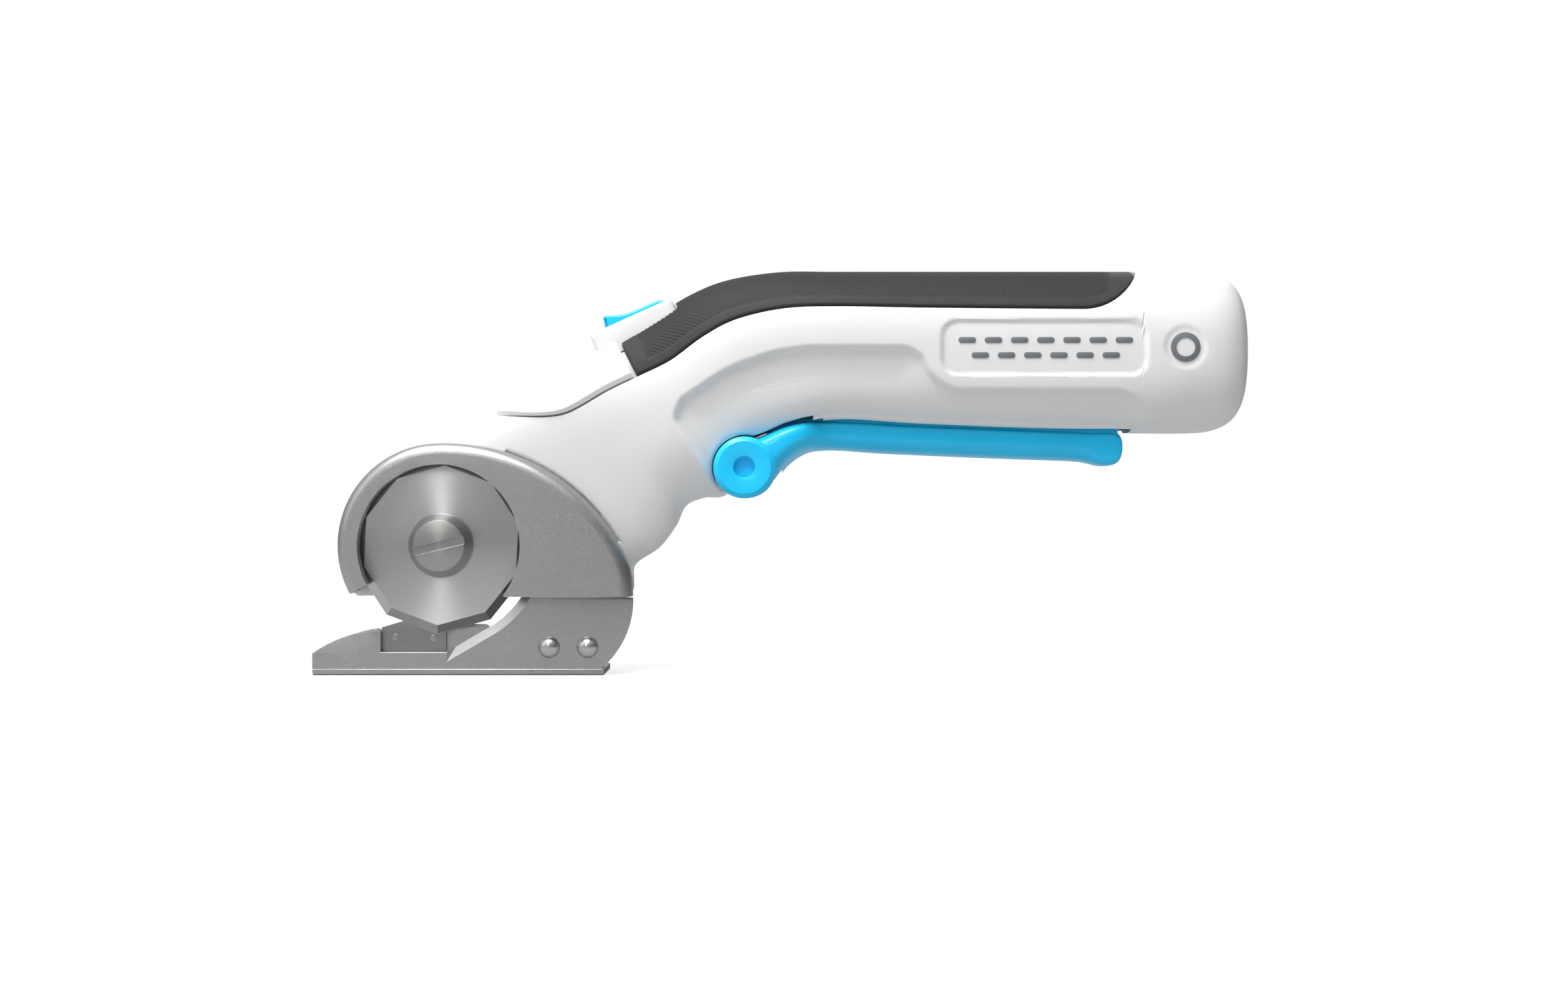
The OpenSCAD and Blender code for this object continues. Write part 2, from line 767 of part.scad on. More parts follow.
module carrier_bush() {
  color([0.75, 0.55, 0.3])
    neck_tube(12.5, 14.6, 4.2, 2.5 + fit);
}
module face_gear() {
  mean = face_teeth * pinion_m / 2;
  root_y = mesh_y - 0.95;
  color([0.75, 0.75, 0.72])
    difference() {
      union() {
        rod(0, axle_z, -6.0, root_y - 2.2, 6);
        rod(0, axle_z, root_y - 2.25, root_y, 10.2);
        translate([0, 0, axle_z])
          for (i = [0:face_teeth - 1])
            rotate([0, -neck_tilt + (i + 0.5) * 360 / face_teeth, 0])
              face_tooth(7, 9.8, root_y, mean);
      }
      rod(0, axle_z, -7, 5, 4);
    }
}
// One radial tooth of the face gear, a ridge that narrows towards its top and its inner end
module face_tooth(r0, r1, root_y, mean) {
  tip_y = mesh_y + 0.5;
  w0 = 0.68;
  w1 = 0.2;
  pts = [for (r = [r0, r1]) for (p = [[-w0, root_y - 0.2], [w0, root_y - 0.2], [w1, tip_y], [-w1, tip_y]])
    [r, p[1], p[0] * r / mean]];
  polyhedron(points = pts, faces = [[3, 2, 1, 0], [4, 5, 6, 7], [1, 5, 4, 0], [2, 6, 5, 1],
    [3, 7, 6, 2], [0, 4, 7, 3]]);
}
module spindle() {
  color([0.6, 0.61, 0.63])
    difference() {
      union() {
        rod(0, axle_z, blade_back, -10.7, 9);
        rod(0, axle_z, blade_front + 0.1, blade_back + 0.1, 4);
        rod(0, axle_z, -10.8, mesh_y + 0.3, 4);
        rod(0, axle_z, mesh_y, 15.8, 3);
      }
      rod(0, axle_z, -14, -4, 2);
    }
}
module spindle_bearing() {
  color([0.8, 0.8, 0.82])
    difference() {
      rod(0, axle_z, -10.4, -6.2, 8);
      rod(0, axle_z, -11, -5, 4 + fit);
      for (y = [-10.5, -6.6])
        difference() {
          rod(0, axle_z, y, y + 0.5, 6.9);
          rod(0, axle_z, y - 0.1, y + 0.6, 5.2);
        }
    }
}
module rear_bush() {
  color([0.75, 0.55, 0.3])
    difference() {
      rod(0, axle_z, 11.2, 16.4, 5.5);
      rod(0, axle_z, 10, 17, 3 + fit);
    }
}

// ---------------------------------------------------------------- blade

blade_turn = -92.7;
corner = 1 / cos(180 / blade_sides);
module blade() {
  edge_r = blade_af / 2 * corner;
  face_r = edge_r - bevel_w;
  color([0.82, 0.83, 0.84])
    difference() {
      translate([0, blade_back, axle_z])
        rotate([90, blade_turn, 0])
          cylinder(h = blade_t, r1 = edge_r, r2 = face_r, $fn = blade_sides);
      rod(0, axle_z, -15, -10, 4);
    }
}
screw_h = 4.8;
module blade_screw() {
  slot_tilt = 13.6;
  color([0.5, 0.5, 0.51])
    difference() {
      union() {
        rod(0, axle_z, blade_front - 0.7, blade_front, 8.6);
        rod(0, axle_z, blade_front - screw_h, blade_front - 0.6, 6.8, 8.4);
        rod(0, axle_z, blade_front - 1, -5, 2);
      }
      translate([0, 0, axle_z])
        rotate([0, -slot_tilt, 0])
          translate([-10, blade_front - screw_h - 1, -1.1])
            cube([20, 3, 2.2]);
    }
}

// ---------------------------------------------------------------- cover

// The big arc of the cover touches the round of the blade at its top
sweep_x = 1.65;
sweep_dz = -24.8;
sweep_r = norm([sweep_x, sweep_dz]);
arm_end = 208.2;
module cover_outline(grow = 0) {
  difference() {
    union() {
      translate([0, axle_z])
        circle(r = cover_r + grow, $fn = 96);
      intersection() {
        translate([sweep_x, axle_z + sweep_dz])
          circle(r = cover_r + sweep_r + grow, $fn = 128);
        translate([0, axle_z])
          rotate(3.8)
            translate([0, -40])
              square([80, 80]);
        translate([-5, cover_foot_z])
          square([56 + grow, 60]);
      }
    }
    translate([-60, -20])
      square([120, 20 + cover_foot_z - (grow > 0 ? 0.3 : 0)]);
  }
}
module throat_wedge() {
  translate([0, axle_z])
    polygon(concat([[0, 0]], arc(0, 0, 60, arm_end, 360 + atan2(cover_foot_z - axle_z, 17.6), 8)));
}
module blade_cover() {
  color([0.78, 0.78, 0.79])
    difference() {
      union() {
        // the face, with its edge broken in two steps
        plate(cover_face, cover_face + 0.8)
          cover_outline(-1.7);
        plate(cover_face + 0.8, cover_face + 2)
          cover_outline(-0.6);
        plate(cover_face + 2, cover_back)
          cover_outline(0);
      }
      // the hollow behind the face
      plate(cover_face + window_depth, cover_back + 1)
        difference() {
          cover_outline(-cover_wall);
          for (p = cover_screw_spots)
            translate(p)
              circle(r = 3);
        }
      plate(cover_face + 2, cover_back + 1)
        difference() {
          cover_outline(-cover_wall);
          translate([0, axle_z])
            circle(r = window_r + 2.6);
          for (p = cover_screw_spots)
            translate(p)
              circle(r = 3);
        }
      // open below the web of the shoe
      translate([19.5, cover_face + 4.2, cover_foot_z - 1])
        cube([29.2, 12, 4]);
      rod(0, axle_z, cover_face - 1, cover_back + 1, window_r);
      plate(cover_face - 1, cover_back + 1)
        throat_wedge();
      for (p = cover_screw_spots)
        rod(p[0], p[1], -15.5, -8, 1.5);
    }
}
module cover_screws() {
  color([0.4, 0.4, 0.42])
    for (p = cover_screw_spots) {
      rod(p[0], p[1], -15.3, -7, 1.5);
      rod(p[0], p[1], -7.1, -5.4, 2.8);
    }
}

// ---------------------------------------------------------------- shoe

edge_r = 24.6;
wedge_a = -60;
fixed_x0 = -16.1;
fixed_x1 = 1.1;
fixed_z0 = 6.2;
fixed_rise = 17;
rivet_x = [28.7, 38.9];
rivet_z = 7.5;
// The web stands on the sole and clears the blade with a round, then straight, front edge
module web_outline() {
  polygon(concat(
    [[-sole_front, 0.2], [-sole_front, 2.7]],
    arc(-12.6, -25.5, 38.2, 124.8, 97.1, 8),
    [[fixed_x0, 11.9], [fixed_x0, fixed_z0]],
    [[1.4, fixed_z0]],
    arc(0, axle_z, edge_r + 0.6, wedge_a, 2, 12),
    [[28, 38], [36, 36], [43.8, 34], [43.8, 21]],
    [[50.9, 20.6]],
    arc(26.95, 20, 24, 1.4, -46, 7),
    [[sole_back, 1.8], [sole_back, 0.2]]
  ));
}
module shoe() {
  color([0.6, 0.6, 0.6])
    difference() {
      union() {
        plate(web_front, web_back)
          web_outline();
        // floor of the pocket that the fixed blade lies on
        plate(pocket_floor, web_back)
          polygon([[fixed_x0, 3], [fixed_x0, 12.2], [-10, 13.5], [11.6, 13.5], [13, 12.8], [13, 3]]);
        translate([-sole_front, web_front, 0])
          cube([sole_front + sole_back, sole_w, sole_t]);
      }
      for (x = rivet_x)
        rod(x, rivet_z, web_front - 1, web_back + 1, 1.6);
      for (p = shoe_screw_spots)
        rod(p[0], p[1], web_front - 1, web_back + 1, 1.6);
      for (p = fixed_rivet_spots)
        rod(p[0], p[1], web_front - 1, web_back + 1, 1.05);
      // the upper part of the web is thinner, under the cover
      translate([19, web_front - 1, 20.95])
        cube([40, 1.9, 30]);
    }
}
module shoe_rivets() {
  color([0.7, 0.7, 0.7])
    for (x = rivet_x) {
      rod(x, rivet_z, web_front, web_back + 0.01, 1.6);
      rod(x, rivet_z, web_back + 0.01, web_back + 0.8, 2.6);
      intersection() {
        translate([x, web_front + 1.35, rivet_z])
          sphere(r = 3.15);
        rod(x, rivet_z, web_front - 3, web_front, 4);
      }
    }
}
module shoe_screws() {
  color([0.4, 0.4, 0.42])
    for (p = shoe_screw_spots) {
      rod(p[0], p[1], web_front + 0.9, -4.5, 1.6);
      rod(p[0], p[1], web_front - 0.5, web_front + 0.9, 2.9);
    }
}
fixed_rivet_spots = [[-12.5, 10.1], [-2.3, 9.8]];
module fixed_blade() {
  rise = tan(fixed_rise) * (fixed_x1 - fixed_x0);
  color([0.68, 0.68, 0.69])
    difference() {
      plate(fixed_front, pocket_floor)
        polygon([[fixed_x0 + 0.9, fixed_z0], [fixed_x1, fixed_z0],
                 [fixed_x1, 12.7 + rise], [fixed_x0, 12.7], [fixed_x0, fixed_z0 + 0.9]]);
      for (p = fixed_rivet_spots)
        rod(p[0], p[1], fixed_front - 1, pocket_floor + 1, 1.05);
    }
}
module fixed_blade_rivets() {
  color([0.5, 0.5, 0.5])
    for (p = fixed_rivet_spots)
      rod(p[0], p[1], fixed_front + 0.02, web_back + 0.5, 1.05);
}

module housing_screws() {
  color([0.35, 0.35, 0.37])
    for (p = screw_spots)
      difference() {
        union() {
          rod(p[0], p[1], -5, head_y, screw_r);
          rod(p[0], p[1], head_y - 0.03, head_y + 1.9, head_r);
        }
        translate([p[0], head_y + 0.9, p[1]])
          for (a = [0, 90])
            rotate([0, a, 0])
              translate([-1.5, 0, -0.3])
                cube([3, 3, 0.6]);
      }
}

near_housing();
far_housing();
top_grip();
neck_cover();
lock_button();
lock_switch();
paddle_lever();
lever_pin();
lever_spring();
micro_switch();
switch_plunger();
housing_screws();
battery_cell();
battery_contacts();
circuit_board();
charging_port();
charge_light();
wiring();
motor_can();
motor_magnets();
motor_armature();
motor_end_cap();
motor_plate();
sun_gear();
planet_gear(0);  // planet_gear_1
planet_gear(1);  // planet_gear_2
planet_gear(2);  // planet_gear_3
planet_carrier();
drive_pinion();
ring_gear();
gear_case();
carrier_bush();
face_gear();
spindle();
spindle_bearing();
rear_bush();
blade();
blade_screw();
blade_cover();
cover_screws();
shoe();
shoe_rivets();
shoe_screws();
fixed_blade();
fixed_blade_rivets();
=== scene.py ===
"""Looks of a battery rotary cutter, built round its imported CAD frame. Lengths are in mm unless said."""
import json
from math import acos, asin, atan2, cos, degrees, hypot, pi, radians, sin, sqrt, tan, tanh

import bmesh
import bpy
import numpy as np
from mathutils import Matrix, Vector
from mathutils.bvhtree import BVHTree
from mathutils.geometry import tessellate_polygon


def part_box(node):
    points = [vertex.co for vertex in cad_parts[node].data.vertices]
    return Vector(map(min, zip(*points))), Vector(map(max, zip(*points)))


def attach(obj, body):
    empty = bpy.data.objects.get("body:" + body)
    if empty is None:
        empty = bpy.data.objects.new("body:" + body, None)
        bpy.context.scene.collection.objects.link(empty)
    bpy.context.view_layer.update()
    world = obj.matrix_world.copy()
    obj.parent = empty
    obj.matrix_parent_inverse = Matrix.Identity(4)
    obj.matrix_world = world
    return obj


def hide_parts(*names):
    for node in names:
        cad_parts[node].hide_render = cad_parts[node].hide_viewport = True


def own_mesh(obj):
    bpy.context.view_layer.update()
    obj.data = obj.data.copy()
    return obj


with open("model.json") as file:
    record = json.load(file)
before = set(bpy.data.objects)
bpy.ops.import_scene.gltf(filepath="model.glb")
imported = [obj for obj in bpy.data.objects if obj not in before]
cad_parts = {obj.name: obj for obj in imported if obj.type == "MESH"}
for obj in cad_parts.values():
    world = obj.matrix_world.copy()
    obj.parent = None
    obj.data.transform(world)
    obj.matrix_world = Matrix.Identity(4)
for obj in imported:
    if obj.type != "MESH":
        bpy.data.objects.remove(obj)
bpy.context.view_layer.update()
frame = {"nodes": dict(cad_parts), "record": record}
scene = bpy.context.scene
MM = 0.001
SIDES, BLADE_TURN, BEVEL_R = 10, 2.7, 20.22


# ---- places from the CAD

def span(node):
    """Lowest and highest corner of a CAD node, in mm."""
    low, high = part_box(node)
    return np.array(low) / MM, np.array(high) / MM


def middle(node):
    low, high = span(node)
    return (low + high) / 2


AXLE = middle("spindle")[[0, 2]]
HUB = middle("lever_pin")[[0, 2]]
BLADE_FRONT = span("blade")[0][1]
COVER_FACE = span("blade_cover")[0][1]
COVER_BACK = span("blade_cover")[1][1]
FOOT_Z = span("blade_cover")[0][2]
WEB_FRONT = span("shoe")[0][1]
SOLE_X0, SOLE_X1 = span("shoe")[0][0], 43.3
SOLE_Y1 = span("shoe")[1][1]
PORT_Z = middle("charging_port")[2]
HANDLE_TOP = 108.55


# ---- mesh helpers

def at_xz(u, v, w):
    """An outline drawn in x and z, stacked along y."""
    return u, w, v


def along_x(u, v, w):
    """An outline drawn in y and z, stacked along x."""
    return w, u, v


def upright(u, v, w):
    """An outline drawn in x and y, stacked along z."""
    return u, v, w


def linked(name, data):
    obj = bpy.data.objects.new(name, data)
    scene.collection.objects.link(obj)
    return obj


def make(name, verts, faces):
    mesh = bpy.data.meshes.new(name)
    mesh.from_pydata([tuple(c * MM for c in v) for v in verts], [], faces)
    bm = bmesh.new()
    bm.from_mesh(mesh)
    bmesh.ops.remove_doubles(bm, verts=bm.verts, dist=1e-7)
    bmesh.ops.recalc_face_normals(bm, faces=bm.faces)
    bm.to_mesh(mesh)
    bm.free()
    return linked(name, mesh)


def ring_normals(loop):
    """Inward normals of a closed outline, scaled so that every edge moves in evenly."""
    p = np.asarray(loop, float)
    after = np.roll(p, -1, 0)
    e = after - p
    e /= np.linalg.norm(e, axis=1)[:, None]
    n = np.stack([-e[:, 1], e[:, 0]], 1)
    n *= np.sign(np.sum(p[:, 0] * after[:, 1] - after[:, 0] * p[:, 1]))
    m = n + np.roll(n, 1, 0)
    m /= np.maximum(np.linalg.norm(m, axis=1), 1e-9)[:, None]
    return m / np.maximum(np.sum(m * n, 1), 0.35)[:, None]


def walls(n, levels):
    """Faces between rings of n points, one ring above another."""
    pairs = [(k * n + i, k * n + (i + 1) % n) for k in range(levels - 1) for i in range(n)]
    return [(a, b, b + n, a + n) for a, b in pairs]


def stack(name, loop, levels, place=at_xz):
    """A closed solid from one outline, drawn in by an inset at each level."""
    p, n = np.asarray(loop, float), ring_normals(loop)
    count = len(p)
    verts = [place(u, v, w) for inset, w in levels for u, v in p + n * inset]
    faces = walls(count, len(levels))
    for k, inset in ((0, levels[0][0]), (len(levels) - 1, levels[-1][0])):
        cap = [Vector((u, v, 0)) for u, v in p + n * inset]
        faces += [tuple(k * count + i for i in tri) for tri in tessellate_polygon([cap])]
    return make(name, verts, faces)


def rounded(w0, w1, r0=0.0, r1=0.0, steps=5):
    """Levels of a stack with rounded edges at its two ends."""
    levels = []
    turn = [pi / 2 * k / steps for k in range(steps + 1)]
    for r, w, way in ((r0, w0, 1), (r1, w1, -1)):
        edge = [(r * (1 - sin(a)), w + way * r * (1 - cos(a))) for a in turn]
        levels += edge[::way] if r > 0 else [(0, w)]
    return levels


def arc(cx, cz, r, a0, a1, n):
    a = np.radians(np.linspace(a0, a1, n))
    return [(cx + r * cos(t), cz + r * sin(t)) for t in a]


def fillet(points, r, n=6):
    """The same polygon with round corners; r is one radius or one for each corner."""
    out, pts = [], np.array(points, float)
    radii = r if hasattr(r, "__len__") else [r] * len(pts)
    for i, p in enumerate(pts):
        a, b = pts[i - 1], pts[(i + 1) % len(pts)]
        u, v = (a - p) / np.linalg.norm(a - p), (b - p) / np.linalg.norm(b - p)
        half = acos(max(-1, min(1, float(u @ v)))) / 2
        if radii[i] <= 0 or half > radians(85):
            out.append(tuple(p))
            continue
        trim = min(radii[i] / tan(half), 0.48 * np.linalg.norm(a - p), 0.48 * np.linalg.norm(b - p))
        rad = trim * tan(half)
        c = p + (u + v) / np.linalg.norm(u + v) * rad / sin(half)
        s, e = p + u * trim - c, p + v * trim - c
        a0 = atan2(s[1], s[0])
        turn = (atan2(e[1], e[0]) - a0 + pi) % (2 * pi) - pi
        out += [(c[0] + rad * cos(a0 + turn * k / n), c[1] + rad * sin(a0 + turn * k / n))
                for k in range(n + 1)]
    return out


def rounded_box(u0, u1, v0, v1, r, n=6):
    return fillet([(u0, v0), (u1, v0), (u1, v1), (u0, v1)], r, n)


def rings(name, rows, caps=True):
    """A skin over rows of points, each row a ring."""
    n = len(rows[0])
    verts = [tuple(p) for row in rows for p in row]
    faces = walls(n, len(rows))
    if caps:
        faces += [tuple(range(n)), tuple((len(rows) - 1) * n + i for i in range(n))]
    return make(name, verts, faces)


def lathe(name, profile, centre, n=96):
    """A solid turned round a line along y; the profile holds (radius, y), from axis to axis."""
    turn = [2 * pi * k / n for k in range(n)]
    verts, faces, index = [], [], []
    for r, y in profile:
        if r <= 0:
            index.append([len(verts)] * n)
            verts.append((centre[0], y, centre[1]))
            continue
        index.append(range(len(verts), len(verts) + n))
        verts += [(centre[0] + r * cos(a), y, centre[1] + r * sin(a)) for a in turn]
    for a, b in zip(index, index[1:]):
        for k in range(n):
            m = (k + 1) % n
            faces.append(tuple(dict.fromkeys((a[k], a[m], b[m], b[k]))))
    return make(name, verts, faces)


def rod(centre, y0, y1, r, n=96):
    return lathe("tool", [(0, y0), (r, y0), (r, y1), (0, y1)], centre, n)


def rods(centres, y0, y1, r, n):
    return [rod(centre, y0, y1, r, n) for centre in centres]


def slab(loop, w0, w1, place=at_xz):
    """A straight tool from one outline."""
    return stack("tool", loop, [(0, w0), (0, w1)], place)


def block(x0, x1, y0, y1, z0, z1):
    verts = [(x, y, z) for x in (x0, x1) for y in (y0, y1) for z in (z0, z1)]
    faces = [(0, 1, 3, 2), (4, 6, 7, 5), (0, 4, 5, 1), (2, 3, 7, 6), (0, 2, 6, 4), (1, 5, 7, 3)]
    return make("tool", verts, faces)


def csg(base, operation, *tools):
    """Adds closed tools to the base or cuts them out of it. The tools are used up."""
    before = len(base.data.polygons)
    for solver in ("MANIFOLD", "EXACT"):
        for tool in tools:
            m = base.modifiers.new("cut", "BOOLEAN")
            m.operation, m.object, m.solver = operation, tool, solver
        bpy.context.view_layer.update()
        done = base.evaluated_get(bpy.context.evaluated_depsgraph_get())
        mesh = bpy.data.meshes.new_from_object(done)
        base.modifiers.clear()
        if len(mesh.polygons) and len(mesh.polygons) != before:
            break
        print("boolean", base.name, solver, "left it unchanged")
    base.data = mesh
    for tool in tools:
        bpy.data.objects.remove(tool)
    return base


def cut(base, *tools):
    return csg(base, "DIFFERENCE", *tools)


def add(base, *tools):
    return csg(base, "UNION", *tools)


def joined(name, *parts):
    """One object that holds the meshes of several."""
    bm = bmesh.new()
    for part in parts:
        bm.from_mesh(part.data)
    mesh = bpy.data.meshes.new(name)
    bm.to_mesh(mesh)
    bm.free()
    for part in parts:
        bpy.data.objects.remove(part)
    return linked(name, mesh)


def soften(obj, width, angle, segments):
    m = obj.modifiers.new("soft_edges", "BEVEL")
    m.width = width * MM
    m.limit_method = "ANGLE"
    m.angle_limit = radians(angle)
    m.segments = segments


def piece(obj, slot, nodes, angle, body="housing"):
    """Finishes an object: gives it its slot's material, hides the CAD nodes it replaces, sets its sharp
    angle and its body.
    """
    obj.data.shade_smooth()
    obj.data.set_sharp_from_angle(angle=radians(angle))
    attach(obj, body)
    if nodes:
        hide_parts(*nodes)
    obj.data.materials.clear()
    obj.data.materials.append(material(slot))


# ---- materials

_made = {}


class Nodes:
    """Makes and links the nodes of a node tree."""

    def __init__(self, node_tree):
        self.nodes, self.links = node_tree.nodes, node_tree.links

    def node(self, kind, *first, **named):
        """A new node. The first inputs are given in order and others by name, without its spaces.
        Each is a value, or a socket to link."""
        n = self.nodes.new("ShaderNode" + kind)
        for k, socket in enumerate(n.inputs):
            value = first[k] if k < len(first) else named.get(socket.name.replace(" ", ""))
            if hasattr(value, "links"):
                self.links.new(value, socket)
            elif value is not None:
                socket.default_value = value
        return n

    def vector(self, op, a, b=None):
        n = self.node("VectorMath", a, b)
        n.operation = op
        return n.outputs["Value" if op in ("LENGTH", "DOT_PRODUCT") else "Vector"]

    def math(self, op, a, b=0.0):
        n = self.node("Math", a, b)
        n.operation = op
        return n.outputs[0]

    def ramp(self, value, low, high, a=0.0, b=1.0):
        return self.node("MapRange", value, low, high, a, b).outputs["Result"]

    def mix(self, fac, a, b):
        a, b = (v if hasattr(v, "links") else (*v, 1) for v in (a, b))
        n = self.node("Mix", fac, *[None] * 5, a, b)
        n.data_type = "RGBA"
        return n.outputs[2]


class Tree(Nodes):
    """The nodes of one material with one surface."""

    def __init__(self, name):
        self.mat = bpy.data.materials.new(name)
        self.mat.use_nodes = True
        super().__init__(self.mat.node_tree)
        self.nodes.clear()
        self.bsdf = self.node("BsdfPrincipled")
        self.links.new(self.bsdf.outputs[0], self.node("OutputMaterial").inputs[0])
        self.place = self.node("TexCoord").outputs["Object"]

    def fixed(self, socket, value):
        self.bsdf.inputs[socket].default_value = value

    def feed(self, socket, source):
        self.links.new(source, self.bsdf.inputs[socket])

    def noise(self, size, detail=3.0, rough=0.5, vector=None):
        """Noise whose blobs are about size mm across, from 0 to 1."""
        return self.node("TexNoise", Scale=1 / (size * MM), Detail=detail, Roughness=rough,
                         Vector=vector or self.place).outputs["Fac"]

    def stretch(self, factors):
        return self.vector("MULTIPLY", self.place, factors)

    def radius(self, centre):
        """Distance from a line along y through the point, in metres."""
        away = self.vector("SUBTRACT", self.place, (centre[0] * MM, 0, centre[1] * MM))
        return self.vector("LENGTH", self.vector("MULTIPLY", away, (1, 0, 1)))

    def facets(self, centre, apothem, turn):
        """The band outside a regular polygon about a line along y, and a painted shade for each of its
        facets, darker on one side as if the light fell from the other. turn is the first corner in degrees."""
        part = self.node("SeparateXYZ", Vector=self.place)
        x = self.math("SUBTRACT", part.outputs["X"], centre[0] * MM)
        z = self.math("SUBTRACT", part.outputs["Z"], centre[1] * MM)
        step = 2 * pi / SIDES
        angle = self.math("SUBTRACT", self.math("ARCTAN2", x, z), radians(turn))
        fold = self.math("SUBTRACT", self.math("FRACT", self.math("DIVIDE", angle, step)), 0.5)
        lean = self.math("COSINE", self.math("MULTIPLY", fold, step))
        reach = self.math("MULTIPLY", self.radius(centre), lean)
        band = self.ramp(reach, (apothem - 0.05) * MM, (apothem + 0.05) * MM)
        # painted shade: a cosine round the axle makes the facets on one side dark and those on the other
        # light
        index = self.math("FLOOR", self.math("DIVIDE", angle, step))
        painted_shade_wave = self.math("COSINE", self.math("ADD", self.math("MULTIPLY", index, step), step / 2 - 2.1))
        return band, self.ramp(painted_shade_wave, -0.6, 1.0)

    def worn(self, radius=0.3):
        """How near a place is to an edge, from 0 to 1, out to the radius in mm."""
        soft = self.node("Bevel", Radius=radius * MM)
        soft.samples = 4
        normal = self.node("NewGeometry").outputs["Normal"]
        return self.ramp(self.vector("DOT_PRODUCT", soft.outputs[0], normal), 0.998, 0.93)

    def open_sky(self, reach):
        """How open a place is, from 0 in a pit to 1 on the flat, looking as far as reach mm."""
        n = self.node("AmbientOcclusion", Distance=reach * MM)
        n.samples = 6
        return n.outputs["AO"]

    def bump(self, height, depth, strength=1.0):
        n = self.node("Bump", Distance=depth * MM, Strength=strength, Height=height)
        self.feed("Normal", n.outputs[0])


def tint(colour, k, add=0.0):
    return tuple(min(1, c * k + add) for c in colour)


def material(slot):
    if slot not in _made:
        values = dict(FINISHES[slot])
        _made[slot] = values.pop("kind", plastic)(slot, **values)
    return _made[slot]


def plastic(name, colour, rough=0.35, grain=0.35, depth=0.006, mottle=0.03, spec=0.5, coat=0.0, wear=0.05):
    """Moulded plastic: fine spark-eroded grain, faint mottling and slightly polished edges."""
    t = Tree(name)
    base = t.mix(t.ramp(t.noise(14, 2), 0.3, 0.7), colour, tint(colour, 1 - mottle))
    edge = t.math("MULTIPLY", t.worn(0.25), t.ramp(t.noise(1.2, 4), 0.35, 0.65))
    t.feed("Base Color", t.mix(edge, base, tint(colour, 1 + wear, 0.02)))
    fine = t.noise(grain, 3, 0.6)
    t.feed("Roughness", t.ramp(fine, 0.25, 0.75, rough - 0.05, rough + 0.07))
    t.bump(fine, depth, 0.6)
    t.fixed("Specular IOR Level", spec)
    t.fixed("Coat Weight", coat)
    t.fixed("Coat Roughness", 0.12)
    return t.mat


def rubber(name, colour, rough=0.6):
    """Soft grip rubber: matt, with a dusty whitening and painted sheen on the high places, and painted shade
    in its dimples.
    """
    t = Tree(name)
    fine = t.noise(0.16, 4, 0.6)
    # partly dusty whitening, partly painted sheen: the edges of the dimples are lightened
    bloom_and_painted_sheen = t.math("MULTIPLY", t.worn(0.2), t.ramp(t.noise(5, 3), 0.3, 0.7, 0.4, 1.0))
    # painted shade: the pits go near black and the open lands lighter, by how open each place is
    painted_pit_shade = t.ramp(t.open_sky(0.8), 0.5, 0.9)
    base = t.mix(painted_pit_shade, tint(colour, 0.2), tint(colour, 2.8))
    t.feed("Base Color", t.mix(bloom_and_painted_sheen, base, tint(colour, 3.2, 0.02)))
    t.feed("Roughness", t.ramp(fine, 0.2, 0.8, rough - 0.08, rough + 0.1))
    t.bump(fine, 0.01, 0.5)
    t.fixed("Specular IOR Level", 0.3)
    t.fixed("Sheen Weight", 0.06)
    return t.mat


def metal(name, colour, rough=0.35, grain=0.25, depth=0.004, mottle=0.06, brush=None, wear=0.25):
    """Metal with a blasted or brushed face, and edges rubbed bright."""
    t = Tree(name)
    vector = t.stretch(brush) if brush else None
    fine = t.noise(grain, 4, 0.65, vector)
    speck = t.noise(grain * 2.2, 2, 0.5, vector)
    base = t.mix(t.ramp(fine, 0.34, 0.66), tint(colour, 1 - mottle), tint(colour, 1 + mottle))
    base = t.mix(t.ramp(t.noise(9, 3), 0.3, 0.7, 0.0, 0.5), base, tint(colour, 1 - mottle / 2))
    edge = t.math("MULTIPLY", t.worn(0.3), t.ramp(t.noise(0.9, 4), 0.35, 0.6))
    t.feed("Base Color", t.mix(edge, base, tint(colour, 1 + wear, 0.03)))
    t.feed("Roughness", t.ramp(speck, 0.25, 0.75, rough - 0.05, rough + 0.08))
    t.bump(fine, depth, 0.7)
    t.fixed("Metallic", 1.0)
    return t.mat


def turned(name, colour, centre, rough=0.3, aniso=0.8, pitch=0.22, depth=0.0025, mottle=0.08, bevel=None):
    """Metal turned or ground in rings round a line along y. A ten-sided bevel is ground across them, with
    painted shade on its facets, dark on one side and light on the other.
    """
    t = Tree(name)
    outwards = t.node("CombineXYZ", X=t.radius(centre)).outputs[0]
    lines = t.noise(pitch, 3, 0.7, outwards)
    broad = t.noise(pitch * 9, 2, 0.5, outwards)
    dark = tint(colour, 1 - mottle)
    base = t.mix(t.ramp(lines, 0.3, 0.7), dark, tint(colour, 1 + mottle))
    base = t.mix(t.ramp(broad, 0.3, 0.7, 0.0, 0.45), base, dark)
    if bevel:
        # painted light and painted shade on the bevel band, facet by facet; it turns with the blade
        band, painted_facet_shade = t.facets(centre, *bevel)
        base = t.mix(band, base, t.mix(painted_facet_shade, tint(colour, 0.95), tint(colour, 0.16)))
    t.feed("Base Color", t.mix(t.worn(0.15), base, tint(colour, 1.2)))
    t.feed("Roughness", t.ramp(lines, 0.2, 0.8, rough - 0.04, rough + 0.06))
    t.bump(lines, depth, 0.5)
    t.fixed("Metallic", 1.0)
    t.fixed("Anisotropic", aniso)
    t.fixed("Anisotropic Rotation", 0.25)
    tangent = t.node("Tangent")
    tangent.direction_type, tangent.axis = "RADIAL", "Y"
    t.feed("Tangent", tangent.outputs[0])
    return t.mat


